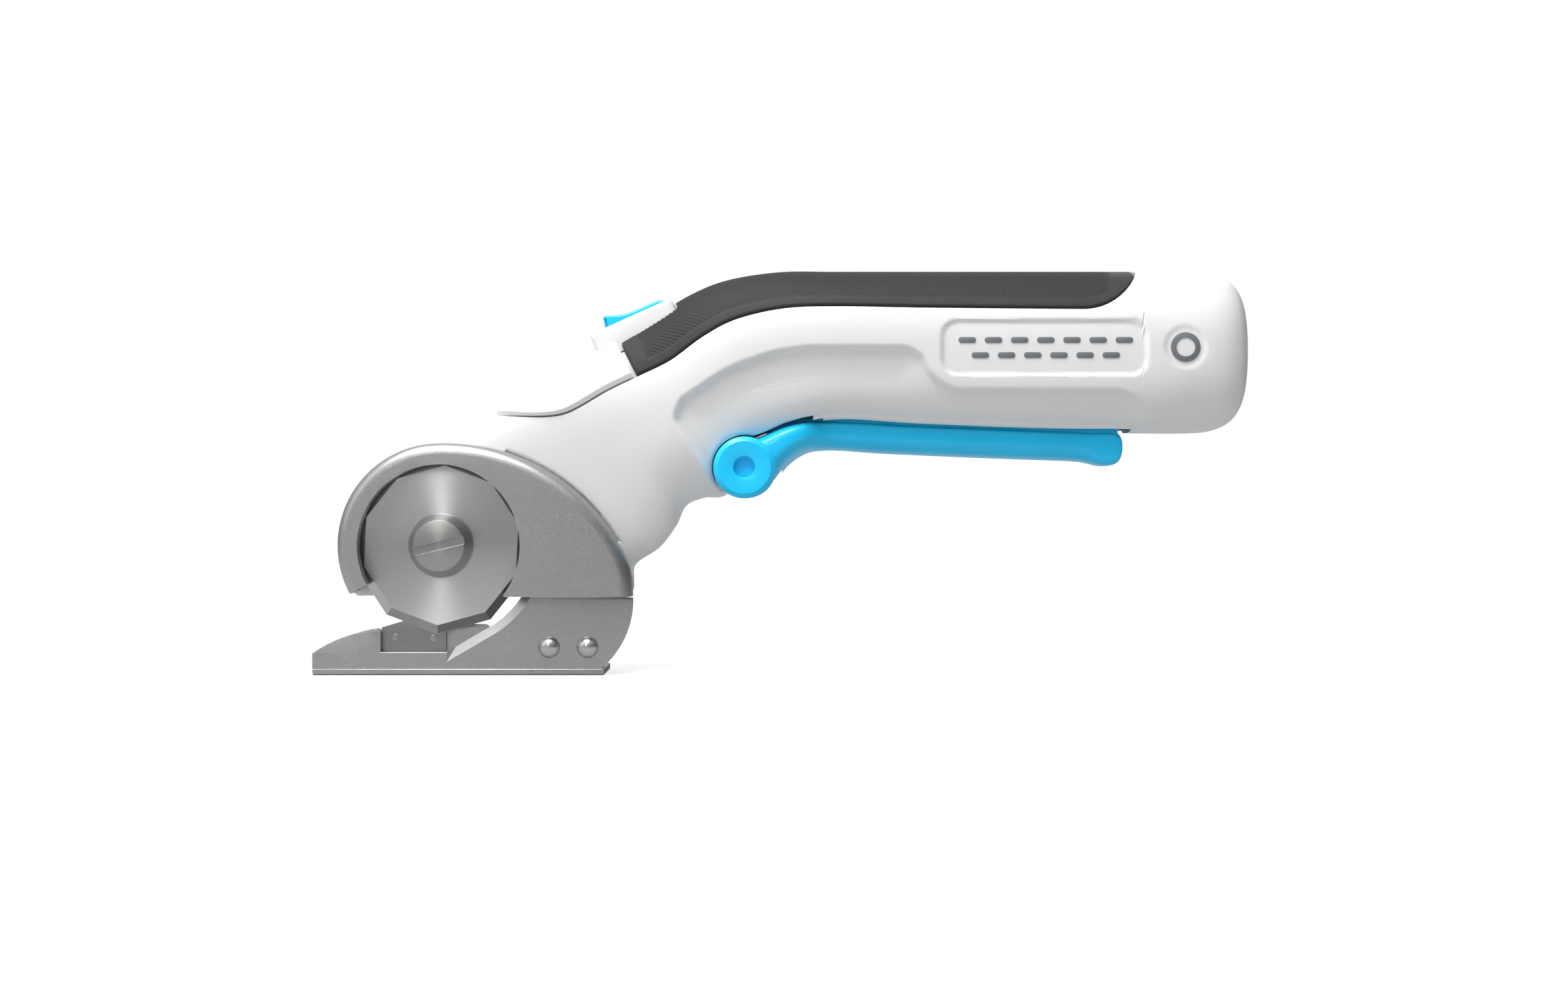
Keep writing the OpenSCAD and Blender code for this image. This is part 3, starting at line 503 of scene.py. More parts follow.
def winding(name, colour, pitch=0.4):
    """Enamelled copper wire laid side by side."""
    t = Tree(name)
    wave = t.node("TexWave", Scale=0.16 / (pitch * MM), Distortion=0.4, Vector=t.place)
    t.feed("Base Color", t.mix(wave.outputs["Fac"], tint(colour, 0.45), colour))
    t.feed("Roughness", t.ramp(t.noise(0.5), 0.3, 0.7, 0.28, 0.42))
    t.bump(wave.outputs["Fac"], 0.05, 0.8)
    t.fixed("Metallic", 0.7)
    return t.mat


def board(name, colour):
    """Solder mask over copper tracks."""
    t = Tree(name)
    brick = t.node("TexBrick", Scale=300.0, MortarSize=0.06, Color1=(*colour, 1), Vector=t.place,
                   Color2=(*tint(colour, 0.8), 1), Mortar=(*tint(colour, 1.8, 0.02), 1))
    t.feed("Base Color", brick.outputs["Color"])
    t.feed("Roughness", t.ramp(t.noise(0.8), 0.3, 0.7, 0.25, 0.4))
    t.bump(brick.outputs["Fac"], 0.03, 0.5)
    return t.mat


WHITE = (0.77, 0.77, 0.768)
BLUE = (0.012, 0.58, 0.98)
FINISHES = {
    "mark_grey": dict(colour=(0.155, 0.17, 0.185), rough=0.45, grain=0.3),
    "white_shell": dict(colour=WHITE, rough=0.38, grain=0.4, depth=0.004, mottle=0.012),
    "white_gloss": dict(colour=(0.84, 0.845, 0.85), rough=0.2, grain=0.6, depth=0.002,
        mottle=0.01, coat=0.25),
    "grip_rubber": dict(kind=rubber, colour=(0.01, 0.01, 0.0105)),
    "blue_plastic": dict(colour=BLUE, rough=0.32, grain=0.5, depth=0.003, mottle=0.04,
        spec=0.35, coat=0.2),
    "black_plastic": dict(colour=(0.02, 0.02, 0.022), rough=0.42),
    "red_plastic": dict(colour=(0.42, 0.025, 0.02), rough=0.4),
    "steel": dict(kind=metal, colour=(0.58, 0.585, 0.6), rough=0.26, brush=(1, 6, 1)),
    "dark_steel": dict(kind=metal, colour=(0.1, 0.1, 0.108), rough=0.4),
    "cell_wrap": dict(colour=(0.03, 0.16, 0.07), rough=0.25, coat=0.4),
    "nickel": dict(kind=metal, colour=(0.66, 0.62, 0.54), rough=0.22),
    "board_green": dict(kind=board, colour=(0.01, 0.09, 0.03)),
    "light_pipe": dict(colour=(0.78, 0.84, 0.92), rough=0.12, coat=0.6),
    "wire_red": dict(colour=(0.42, 0.02, 0.02), rough=0.32),
    "copper": dict(kind=winding, colour=(0.6, 0.24, 0.1)),
    "brass_gear": dict(kind=metal, colour=(0.72, 0.5, 0.2), rough=0.28),
    "gear_nylon": dict(colour=(0.68, 0.66, 0.58), rough=0.5),
    "case_alloy": dict(kind=metal, colour=(0.5, 0.51, 0.53), rough=0.48, grain=0.5, depth=0.02),
    "bronze": dict(kind=metal, colour=(0.5, 0.3, 0.12), rough=0.45, grain=0.3, depth=0.01),
    # the bevel entry gives the blade's bevel band its painted shade, facet by facet
    "blade_steel": dict(kind=turned, colour=(0.62, 0.62, 0.625), centre=AXLE, rough=0.3, aniso=0.85,
        mottle=0.05, depth=0.0012, bevel=(BEVEL_R, BLADE_TURN)),
    "blade_dark": dict(kind=metal, colour=(0.3, 0.3, 0.3), rough=0.36, brush=(1, 1, 9), mottle=0.05),
    "screw_steel": dict(kind=turned, colour=(0.38, 0.38, 0.37), centre=AXLE, rough=0.4, aniso=0.4),
    "cover_silver": dict(kind=metal, colour=(0.44, 0.44, 0.44), rough=0.38, grain=0.3, depth=0.028,
        mottle=0.16, wear=0.5),
    "shoe_steel": dict(kind=metal, colour=(0.46, 0.46, 0.455), rough=0.38, grain=0.28, depth=0.022,
        mottle=0.14),
    "rivet_steel": dict(kind=metal, colour=(0.55, 0.55, 0.555), rough=0.3, grain=0.8, depth=0.002),
}


# ---- the body's skin

MID_Z = HANDLE_TOP - 21.9
COVER_R = 27.1
HANDLE_HW = 19.4


def tail_row(x, k):
    return [x, MID_Z + 21.9 * k, x, MID_Z - 21.9 * k, HANDLE_HW * k, HANDLE_HW * k, 2.3, 2.4]


def nose_row(angle, xb, square):
    a, r = radians(angle), COVER_R + 0.3
    top = [AXLE[0] + r * cos(a), AXLE[1] + r * sin(a)]
    return top + [xb, FOOT_Z - 0.3, 9.5, 19.2, square, square]


# top x, z, bottom x, z, near and far depth, squareness of the upper and lower half
SECTIONS = np.array([
    tail_row(215.4, 0.42), tail_row(215.1, 0.56), tail_row(214.1, 0.72), tail_row(211.9, 0.86),
    tail_row(207.9, 0.96), tail_row(201.4, 1),
    [186, HANDLE_TOP, 186, 64.8, HANDLE_HW, HANDLE_HW, 2.3, 3],
    [160, HANDLE_TOP, 160, 65.4, HANDLE_HW, HANDLE_HW, 2.3, 3.4],
    [128, HANDLE_TOP, 128, 66.6, 19.2, 19.35, 2.3, 3.4],
    [105, HANDLE_TOP, 107, 68.0, 19, 19.3, 2.3, 3.8],
    [90, HANDLE_TOP - 0.1, 95, 66.3, 18.6, 19.2, 2.3, 4.2],
    [76, 106.3, 86, 61.4, 18.3, 19.2, 2.3, 3.4],
    [66, 102.4, 80.5, 55, 18.1, 19.2, 2.3, 2.7],
    [56, 96.3, 75.4, 48, 17.8, 19.2, 2.3, 2.3],
    [47, 90.6, 69.5, 47.2, 17.2, 19.2, 2.4, 2.4],
    [38, 85.3, 64.6, 45, 16, 19.2, 2.6, 2.6],
    [30, 80.2, 61.8, 39.5, 14, 19.2, 3, 3],
    [21, 74.6, 57.2, 33.6, 11.6, 19.2, 3.6, 3.6],
    [11.5, 68.4, 50.4, 28.6, 10, 19.2, 4.6, 4.6],
    nose_row(86, 48.8, 6), nose_row(106, 36, 7), nose_row(128, 20, 7), nose_row(150, 4, 7),
    nose_row(172, -9, 7), nose_row(190, -18, 6), nose_row(204, -23, 5),
])
LAST = len(SECTIONS) - 1
SKIN, WALL = 1.7, 2.2
LEDGE = SKIN + 0.25
SEAM_R, RIM_R = 0.35, 0.5
INNER_COLS = 14
BAND_T, BAND_RISE, BAND_TOP = 25.5, 61.0, 87.5
GRIP_TAIL, GRIP_NOSE, NECK_NOSE = 6.02, 14.06, 17.8


def between(rows, f):
    """A smooth curve through the rows, at the place f counted in rows."""
    last = len(rows) - 1
    i = min(int(f), last - 1)
    u = f - i
    a, b, c, d = (rows[k] for k in (max(i - 1, 0), i, i + 1, min(i + 2, last)))
    return b + 0.5 * u * (c - a + u * (2 * a - 5 * b + 4 * c - d + u * (3 * (b - c) + d - a)))


def section(f):
    return between(SECTIONS, f)


def section_middle(f):
    q = section(f)
    return [(q[0] + q[2]) / 2, 0, (q[1] + q[3]) / 2]


def squared(q, width, s, c, upper, lower):
    """Points of a section, from the sines s and cosines c of their angles. upper and lower say how
    square it is above and below its middle."""
    top, bottom = q[0:2], q[2:4]
    h = np.linalg.norm(top - bottom) / 2
    up, mid = (top - bottom) / (2 * h), (top + bottom) / 2
    e = 2 / np.where(s > 0, upper, lower)
    v = h * np.sign(s) * np.abs(s) ** e
    return np.stack([mid[0] + v * up[0], width * np.sign(c) * np.abs(c) ** e, mid[1] + v * up[1]], 1)


def rise(u):
    v = max(0.0, min(1.0, u))
    return 1 - sqrt(1 - v * v)


def band(f):
    """Angle of the lower edge of the grip and the neck cover at a place along the body."""
    return BAND_T + BAND_RISE * max(rise((GRIP_TAIL + 0.62 - f) / 0.64), rise((f - NECK_NOSE + 1.6) / 1.6))


def spread(a, b, n):
    """Angles from a to b, closer together at the two ends, where the skin turns fast."""
    u = (1 - np.cos(np.linspace(0, pi, n))) / 2
    return a + (b - a) * (0.6 * u + 0.4 * u * u * (3 - 2 * u))


def profile(f, side, t):
    """Points of the skin at section f and the angles t in degrees."""
    q = section(f)
    a = np.radians(t)
    c = np.abs(np.cos(a))
    return squared(q, side * (q[4] if side < 0 else q[5]), np.sin(a), np.where(c < 1e-9, 0, c), q[6], q[7])


def lengths(points):
    return np.concatenate([[0], np.cumsum(np.linalg.norm(np.diff(points, axis=0), axis=1))])


def resample(points, wanted):
    have = lengths(points)
    return np.stack([np.interp(wanted, have, points[:, k]) for k in range(3)], 1)


def places_along(f0, f1, step):
    """Places along the body that are at most step apart on the skin."""
    f = np.linspace(f0, f1, 1500)
    q = np.array([section(v) for v in f])
    side = (q[:, 0:2] + q[:, 2:4]) / 2
    moves = [np.linalg.norm(np.diff(p, axis=0), axis=1) for p in (q[:, 0:2], side, q[:, 2:4])]
    s = np.concatenate([[0], np.cumsum(np.max(moves, 0))])
    return np.interp(np.linspace(0, s[-1], max(3, int(s[-1] / step) + 1)), s, f)


def grid_normals(p):
    """Outward unit normals of a grid of points over the body."""
    n = np.cross(np.gradient(p, axis=0), np.gradient(p, axis=1))
    return n / np.maximum(np.linalg.norm(n, axis=2), 1e-12)[:, :, None]


def signed(polygon, x, z):
    """Distance of each point from a polygon's edge, negative inside."""
    pts = np.asarray(polygon, float)
    best = np.full(x.shape, 1e9)
    inside = np.zeros(x.shape, bool)
    for a, b in zip(pts, np.roll(pts, -1, 0)):
        e = b - a
        u = np.clip(((x - a[0]) * e[0] + (z - a[1]) * e[1]) / (e @ e), 0, 1)
        best = np.minimum(best, np.hypot(x - a[0] - u * e[0], z - a[1] - u * e[1]))
        crosses = (a[1] > z) != (b[1] > z)
        with np.errstate(divide="ignore", invalid="ignore"):
            inside ^= crosses & (x < a[0] + (z - a[1]) * e[0] / (e[1] if e[1] else 1e-12))
    return np.where(inside, -best, best)


def smooth(low, high, v):
    u = np.clip((v - low) / (high - low), 0, 1)
    return u * u * (3 - 2 * u)


def edge_round(distance, r):
    """How far a surface drops at a distance from an edge that is rounded to radius r."""
    d = np.clip(distance, 0, r)
    return r - np.sqrt(np.maximum(r * r - (r - d) ** 2, 0))


def cover_outline(grow=0.0, low=4.0, end=240.0):
    """The blade cover in side view: a big arc over the neck, then a round one about the blade."""
    right, under = COVER_SHIFT
    big_c, big_r = (AXLE[0] + right, AXLE[1] - under), COVER_R + hypot(right, under)
    meet = degrees(atan2(under, -right))
    sweep = [(x if x < SWEEP_X else SWEEP_X + SWEEP_ROOM * tanh((x - SWEEP_X) / SWEEP_ROOM), z)
             for x, z in arc(*big_c, big_r + grow, low, meet, 110)]
    return sweep[:-1] + arc(*AXLE, COVER_R + grow, meet, end, 90)


COVER_SHIFT = (1.65, 24.8)
SWEEP_X, SWEEP_ROOM = 48.6, 2.6
SCALLOP = [(73.6, 49.3), (61.8, 68.3), (63.8, 73.4), (76.6, 81.8), (88.3, 85.9), (97.5, 87.2),
           (123.9, 87.2), (127.7, 85.0), (129.9, 80.5), (132.7, 77.8), (136.6, 75.8), (179.7, 75.7),
           (183.8, 73.9), (186.1, 71.0), (186.4, 65.7), (186.4, 40), (80, 40)]
SCALLOP_R = [6, 3.5, 3.5, 30, 30, 12, 5, 4, 6, 4, 5, 5, 4, 4, 3, 0, 0]
SCALLOP_EDGE = fillet(SCALLOP, SCALLOP_R, 8)
BADGE = rounded_box(132.7, 187.1, 79.6, 94.2, 4.3, 10)
BADGE_DEPTH = 0.8
REAR_MARK, REAR_MARK_R = (197.0, 87.0), (4.9, 5.9)
HUB_GAP_R, HUB_EDGE_R = 8.7, 0.9
COVER_SEAM_Y, COVER_EDGE_R = -9.55, 0.7


def features(p, side):
    """Depth of everything pressed into the skin, at each point of the grid."""
    x, y, z = p[..., 0], p[..., 1], p[..., 2]
    flat = smooth(2.0, 7.0, np.abs(y))
    d = signed(SCALLOP_EDGE, x, z)
    depth = 1.9 * smooth(0.6, -1.7, d) * flat + 1.1 * smooth(0, -9, d) * flat
    if side < 0:
        depth += BADGE_DEPTH * smooth(0.4, -0.8, signed(BADGE, x, z)) * flat
        away = np.hypot(x - REAR_MARK[0], z - REAR_MARK[1])
        depth += 0.4 * smooth(*REAR_MARK_R[::-1], away) * flat
    outside = np.hypot(x - HUB[0], z - HUB[1]) - HUB_GAP_R
    depth += edge_round(outside, HUB_EDGE_R) * (np.abs(y) > 7) * (outside < HUB_EDGE_R)
    if side < 0:
        rim = signed(cover_outline(0.3), x, z)
        depth += edge_round(rim, COVER_EDGE_R) * (y < COVER_SEAM_Y) * (rim < COVER_EDGE_R)
    return depth


def double_skin(outer, inner):
    """Vertices and faces of an outer and an inner skin with as many rows, joined along both edges."""
    count, m, k = len(outer), len(outer[0]), len(inner[0])
    verts = [tuple(v) for skin in (outer, inner) for row in skin for v in row]
    base, faces = count * m, []
    for i in range(count - 1):
        a, b, c, d = i * m, (i + 1) * m, base + i * k, base + (i + 1) * k
        faces += [(a + j, a + j + 1, b + j + 1, b + j) for j in range(m - 1)]
        faces += [(c + j, c + j + 1, d + j + 1, d + j) for j in range(k - 1)]
        faces += [(a, b, d, c), (a + m - 1, b + m - 1, d + k - 1, c + k - 1)]
    return verts, faces, base, m, k


def shell(side):
    """One half of the housing: outer skin with its ledge under the grip, inner skin and rims."""
    cols, ledge_cols, step = 104, 9, 0.52
    f_list = np.unique(np.concatenate([
        places_along(0, LAST, step), [0.06, 0.14, 0.25, 0.4],
        GRIP_TAIL + np.array([-0.004, 0.0, 0.015, 0.04]), NECK_NOSE + np.array([-0.05, -0.02, 0, 0.006])]))
    rows, rims, tops = [], [], []
    for f in f_list:
        t_edge = min(band(f), BAND_TOP)
        lower = profile(f, side, spread(-90, t_edge, 500))
        total = lengths(lower)[-1]
        wanted = np.concatenate([[0, 0.08, 0.2, 0.4], np.linspace(0.8, total - 0.9, cols - 9),
                                 total - np.array([0.5, 0.3, 0.16, 0.06, 0])])
        low = resample(lower, wanted)
        above = [[t_edge + 0.35], np.linspace(t_edge + 1.2, 90, ledge_cols - 1)]
        rows.append(np.concatenate([low, profile(f, side, np.concatenate(above))]))
        rims.append(np.concatenate([total - wanted, np.zeros(ledge_cols)]))
        tops.append(float(GRIP_TAIL - 1e-6 <= f <= NECK_NOSE + 1e-6))
    p, rims = np.array(rows), np.array(rims)
    n = grid_normals(p)
    centre = np.array([section_middle(f) for f in f_list])
    n *= np.sign(np.sum(n * (p - centre[:, None, :]), axis=2))[:, :, None]
    lowest = p.shape[1] - ledge_cols
    n[:, [0, -1], 1] = 0
    on, below = np.array(tops)[:, None], np.arange(p.shape[1]) < lowest
    pressed = features(p, side)
    off_seam = np.abs(p[..., 1])
    depth = edge_round(off_seam, SEAM_R) * (off_seam < SEAM_R) * (1 - on * ~below)
    depth += edge_round(rims, RIM_R) * on * (rims < RIM_R) * below
    depth[:, lowest:] += LEDGE * on
    p = p - n * depth[:, :, None]
    p[..., 1] -= side * np.minimum(pressed * smooth(0.05, 0.55, np.abs(n[..., 1])), np.abs(p[..., 1]) * 0.8)
    p[:, [0, -1], 1] = 0
    inner, t = [], spread(-90, 90, INNER_COLS)
    for f, o in zip(f_list, tops):
        g = min(max(f, 1.2), LAST - 0.9)
        q = profile(g, side, t)
        away = q - np.array(section_middle(g))
        inset = (WALL + np.where(t > band(g), SKIN * o, 0)) / np.maximum(np.linalg.norm(away, axis=1), 1)
        q = q - away * inset[:, None]
        q[:, 1] -= side * 0.9 * (np.abs(q[:, 1]) > 4)
        inner.append(q + np.array([(f - g) * 1e-3, 0, (f - g) * 1e-3]))
    verts, faces, base, m, k = double_skin(p, inner)
    for i in (0, len(f_list) - 1):
        a, c = i * m, base + i * k
        faces += [tuple(range(a, a + m)), tuple(range(c, c + k)), (a, c, c + k - 1, a + m - 1)]
    return make("near_shell" if side < 0 else "far_shell", verts, faces)


near_shell = shell(-1)
far_shell = shell(1)

# the pin's bosses, and the posts with their screw seats, before anything is cut
BOSS_Y = 8.0
SCREWS = [(37, 26.5, 17.8), (48, 41, 17), (66, 54, 12.4), (99, 93.5, 16.5), (197, 100, 15), (197, 70.5, 13)]
SCREW_HEAD_Y, SCREW_WELL_R = 10.2, 2.6
for half, y0, y1 in ((near_shell, -BOSS_Y, -0.02), (far_shell, 0.02, BOSS_Y)):
    add(half, rod(HUB, y0, y1, 6.2), block(HUB[0] - 9, HUB[0] - 1, y0, y1, HUB[1] - 4, HUB[1] + 4))
add(far_shell, *[rod((x, z), 0.02, top + 0.4, 3.5, 40) for x, z, top in SCREWS])

BUTTON_TILT = 24.3
BUTTON_AT = Vector((42.9, 0, 93.2))
BUTTON_FRAME = Matrix.Translation(BUTTON_AT) @ Matrix.Rotation(radians(-BUTTON_TILT), 4, "Y")
PADDLE_HW, ARM_ROOM = 8.0, 10.4
ARM_HW, ARM_GAP, ARM_RISE = 14.0, 0.4, 0.045
TAIL_CUT = (203.3, 222)
LIGHT_Y, LIGHT_R = 9, 1.3
ARM_TOP = [(80.5, 62.6), (83.2, 63.3), (86.2, 64.3), (91.0, 66.3), (96.2, 67.6), (99.0, 68.0)]


def button_xz(u, v, w):
    """Drawn in the button's own side view, stacked along y."""
    return tuple(BUTTON_FRAME @ Vector((u, w, v)))


def button_xy(u, v, w):
    """Drawn in the button's plan, stacked upwards."""
    return tuple(BUTTON_FRAME @ Vector((u, v, w)))


def button_well():
    return slab(rounded_box(-5, 20, -8.4, 8.4, 1.2), -8.4, 12, button_xy)


def housing_tools(side):
    """What is cut out of a housing half: the lever's room, the button's well and the port."""
    arm = [(80.5, 45), (99, 45)] + [(x, z + ARM_GAP + ARM_RISE * (x - HUB[0])) for x, z in ARM_TOP[::-1]]
    y0, y1 = sorted((side * 8.3, side * 30))
    return [
        rod(HUB, y0, y1, HUB_GAP_R, 120),
        slab(rounded_box(HUB[0], 101.7, 50, 71, [0, 0, 2, 0]), -ARM_ROOM, ARM_ROOM),
        slab(arm, -ARM_HW - 0.5, ARM_HW + 0.5),
        slab(rounded_box(100, 184.2, 50, 72, [0, 0, 1.5, 0]), -PADDLE_HW - 0.6, PADDLE_HW + 0.6),
        button_well(),
        slab(rounded_box(-4.9, 4.9, PORT_Z - 2.1, PORT_Z + 2.1, 1.6), *TAIL_CUT, along_x),
    ]


cut(near_shell, *housing_tools(-1))
cut(far_shell, *housing_tools(1))
cut(near_shell,
    slab(cover_outline(0.3, 0, 260), -30, COVER_BACK + 0.1),
    rod(AXLE, -14, -5, 10.4))
cut(far_shell,
    *rods([screw[:2] for screw in SCREWS], SCREW_HEAD_Y - 0.05, 26, SCREW_WELL_R, 40),
    slab(arc(LIGHT_Y, PORT_Z, LIGHT_R, 0, 345, 24), *TAIL_CUT, along_x))
for half, node in ((near_shell, "near_housing"), (far_shell, "far_housing")):
    piece(half, "white_shell", [node], 34)


# ---- grip and neck cover

def over_top(f, t0):
    """The skin from an angle on the near side, over the top, to the same on the far side."""
    t = spread(t0, 90, 260)
    return np.concatenate([profile(f, -1, t), profile(f, 1, t)[::-1][1:]])


def top_skin(name, f0, f1, step, gap, side_cols, shape, edge):
    """A band over the top of the body. Columns are step apart from the top down, except in the last
    edge mm on each side, where they follow the edge. shape(along, rank, left, ends) raises it."""
    f_list = places_along(f0, f1, step)
    grid, along, left = [], [], []
    walked, last_top = 0.0, None
    for f in f_list:
        line = over_top(f, min(band(f), BAND_TOP))
        half = lengths(line)[-1] / 2
        reach = half - gap
        even = min(int(max(reach - edge, 0) / step), side_cols - 6)
        d = np.concatenate([np.arange(even + 1) * step,
                            np.linspace(even * step, reach, side_cols - even + 1)[1:]])
        pts = resample(line, np.concatenate([half - d[::-1], half + d[1:]]))
        grid.append(pts)
        top = pts[side_cols]
        walked += 0 if last_top is None else float(np.linalg.norm(top - last_top))
        last_top = top
        ends = np.concatenate([d[::-1], d[1:]])
        along.append(np.full(len(ends), walked))
        left.append(reach - ends)
    p = np.array(grid)
    n = grid_normals(p)
    n *= np.sign(np.sum(n * (p - p.mean(axis=1)[:, None, :] + np.array([0, 0, 18.0])), axis=2))[:, :, None]
    along, left = np.array(along), np.array(left)
    rank = np.arange(p.shape[1]) - side_cols
    ends = np.minimum(along, along[-1:] - along)
    outer = p + n * shape(along, rank, left, ends)[:, :, None]
    pick = np.unique(np.round(np.linspace(0, p.shape[1] - 1, 18)).astype(int))
    inner = (p - n * (SKIN - 0.1))[:, pick]
    verts, faces, base, m, k = double_skin(outer, inner)
    for i in (0, len(f_list) - 1):
        for j in range(k - 1):
            c = base + i * k + j
            faces.append((*range(i * m + pick[j], i * m + pick[j + 1] + 1), c + 1, c))
    return make(name, verts, faces)


DIMPLE, DIMPLE_DEPTH, BESIDE = 0.33, 0.4, 0.55


def grip_shape(along, rank, left, ends):
    """Rows of dimples, each row half a step from the next, inside a smooth border."""
    row = np.round(along / DIMPLE).astype(int)
    centre = (row % 2 == 0) & (rank % 2 == 0) & ((row + rank) % 4 == 0)
    beside = sum(1.0 * np.roll(centre, way, axis) for axis in (0, 1) for way in (-1, 1))
    pit = np.where(centre, 1.0, BESIDE * np.minimum(beside, 1))
    field = smooth(2.6, 3.5, left) * smooth(3.5, 6.0, along[-1:] - along) * smooth(5.0, 9.0, along)
    rim = edge_round(np.minimum(left, ends), 0.8)
    return -DIMPLE_DEPTH * pit * field - rim


grip = top_skin("soft_grip", GRIP_TAIL + 0.02, GRIP_NOSE, DIMPLE, 0.28, 92, grip_shape, 2.2)
cut(grip, button_well())
piece(grip, "grip_rubber", ["top_grip"], 60)

NECK_PROUD = 0.95


def neck_shape(along, rank, left, ends):
    proud = NECK_PROUD * smooth(-0.05, 0.95, left) * smooth(-0.5, 1.2, along[-1:] - along)
    return proud - 0.35 * edge_round(ends, 0.6)


neck = top_skin("neck_cover_skin", GRIP_NOSE + 0.09, NECK_NOSE - 0.03, 0.5, 0.5, 56, neck_shape, 2.5)
add(neck, stack("tool", rounded_box(-4.6, 19.6, -8, 8, 2.2, 8), rounded(-8, -0.3, 0, 1.1, 5), button_xy))
cut(neck,
    stack("tool", rounded_box(-3.7, 18.4, -6.4, 6.4, 1.6, 8),
          [(0, -1.8), (0, -1.0), (-0.7, -0.25), (-0.7, 12)], button_xy),
    slab(rounded_box(-3.7, 14.2, -3.2, 3.2, 0.8), -14, 0, button_xy))
piece(neck, "white_gloss", ["neck_cover"], 34)


# ---- button

BUTTON_HW = 6.0
top_line = [(17.2, 0.35), (15.8, 0.75), (12.5, 0.8), (8.4, 0.85), (6.2, 1.1), (4.4, 1.6), (2.9, 2.2),
            (1.6, 2.75), (0.75, 2.85)]
body = fillet([(-0.3, -1.3), (17.2, -1.3)] + top_line, [0.3, 0.4, 0.3, 2, 3, 3, 3, 3, 3, 0.4, 0.3], 5)
button = stack("button_cap", body, rounded(-BUTTON_HW, BUTTON_HW, 0.7, 0.7, 5), button_xz)
add(button, slab(rounded_box(4.2, 11.2, -2.5, 2.5, 0.4), -8.2, -1, button_xy))
piece(button, "blue_plastic", ["lock_button"], 35, "button")


# ---- lever

PIN_BORE = 2.8
hub_rings = []
for side in (-1, 1):
    y = [side * v for v in (15.56, 8.6, 8.6, 8.9, 16.5, 17.45, 17.6, 17.6, 17.5, 17.2, 15.95, 15.75, 15.75)]
    r = (PIN_BORE, PIN_BORE, 7.9, 8.2, 8.2, 7.2, 6.95, 3.3, 3.0, PIN_BORE, PIN_BORE, 2.6, 0)
    hub_rings.append(lathe("tool", [(0, side * 15.56)] + list(zip(r, y)), HUB, 128))

# top x, z, bottom x, z, half width, and the squareness of the upper and lower half
LEVER_ROWS = np.array([
    [83.2, 63.3, 85.6, 48.6, 14.0, 5, 2.6],
    [86.2, 64.3, 88.6, 51.2, 14.0, 5, 2.4],
    [91.0, 66.3, 92.4, 56.0, 13.9, 5, 2.1],
    [96.2, 67.6, 97.2, 59.2, 12.6, 5, 1.9],
    [101.0, 68.1, 102.0, 60.0, 9.0, 5, 2.0],
    [106.0, 68.2, 106.6, 60.0, 8.1, 5, 2.1],
    [116.0, 67.8, 116.2, 59.3, 8.0, 5, 2.1],
    [128.5, 67.1, 128.7, 58.7, 8.0, 5, 2.1],
    [145.0, 66.5, 145.1, 58.0, 8.0, 5, 2.1],
    [159.0, 65.9, 159.1, 57.5, 8.0, 5, 2.1],
    [169.2, 65.5, 169.6, 57.1, 8.0, 5, 2.2],
    [173.4, 65.3, 173.8, 56.5, 8.0, 5, 3.0],
    [176.2, 65.2, 176.8, 55.9, 8.0, 6, 6.0],
    [179.2, 65.1, 179.6, 56.0, 8.0, 6, 6.0],
    [181.1, 64.7, 181.4, 57.0, 7.9, 5, 5.0],
    [182.0, 63.6, 182.1, 58.6, 7.4, 4, 4.0],
    [182.3, 62.3, 182.3, 60.2, 6.0, 3, 3.0],
])


def lever_ring(f, n):
    q = between(LEVER_ROWS, f)
    t = np.linspace(0, 2 * pi, 721)[:-1]
    ring = squared(q, q[4], np.sin(t), np.cos(t), q[5], q[6])
    ring = np.concatenate([ring, ring[:1]])
    return resample(ring, np.linspace(0, lengths(ring)[-1], n + 1)[:-1])


lever = rings("squeeze_paddle", [lever_ring(f, 72) for f in np.linspace(0, len(LEVER_ROWS) - 1, 190)])
cut(lever, rod(HUB, -8.6, 8.6, 10, 96), rod(HUB, -20, -8, 8.0, 96), rod(HUB, 8, 20, 8.0, 96))
add(lever, *hub_rings)
rib_line = [(86.5, 61), (104, 66), (181, 63.8), (181, 66.4), (104, 68.8), (96, 68.6), (90.5, 67.5),
            (86.5, 65.3)]
rib = stack("tool", fillet(rib_line, [0, 0, 0, 1, 6, 4, 3, 0.5]), rounded(-7, 7, 0.5, 0.5, 3))
finger = stack("tool", rounded_box(108.5, 112.5, 65, 70.2, [0, 0, 0.6, 0.6]), rounded(-2, 2, 0.4, 0.4, 3))
for tool in (rib, finger):
    add(lever, tool)
SPRING_X, SPRING_LOW, SPRING_HIGH = 135.0, 63.65, 73.55
SPRING_R, WIRE_R, SPRING_TURNS, SPRING_SEAT_R = 3.0, 0.34, 5, 4.7
COIL_STEPS, WIRE_SIDES = 40, 10
cut(lever, slab(arc(SPRING_X, 0, SPRING_SEAT_R, 0, 352.5, 48), 63.6, 76, upright))
piece(lever, "blue_plastic", ["paddle_lever"], 30, "lever")


def coil_ring(k):
    """A ring of points round the wire, at step k along the coil."""
    a, u = 2 * pi * k / COIL_STEPS, k / (COIL_STEPS * SPRING_TURNS)
    height = SPRING_LOW + WIRE_R + (SPRING_HIGH - SPRING_LOW - 2 * WIRE_R) * u
    ring = []
    for j in range(WIRE_SIDES):
        b = 2 * pi * j / WIRE_SIDES
        r = SPRING_R + WIRE_R * cos(b)
        ring.append((SPRING_X + r * cos(a), r * sin(a), height + WIRE_R * sin(b)))
    return ring


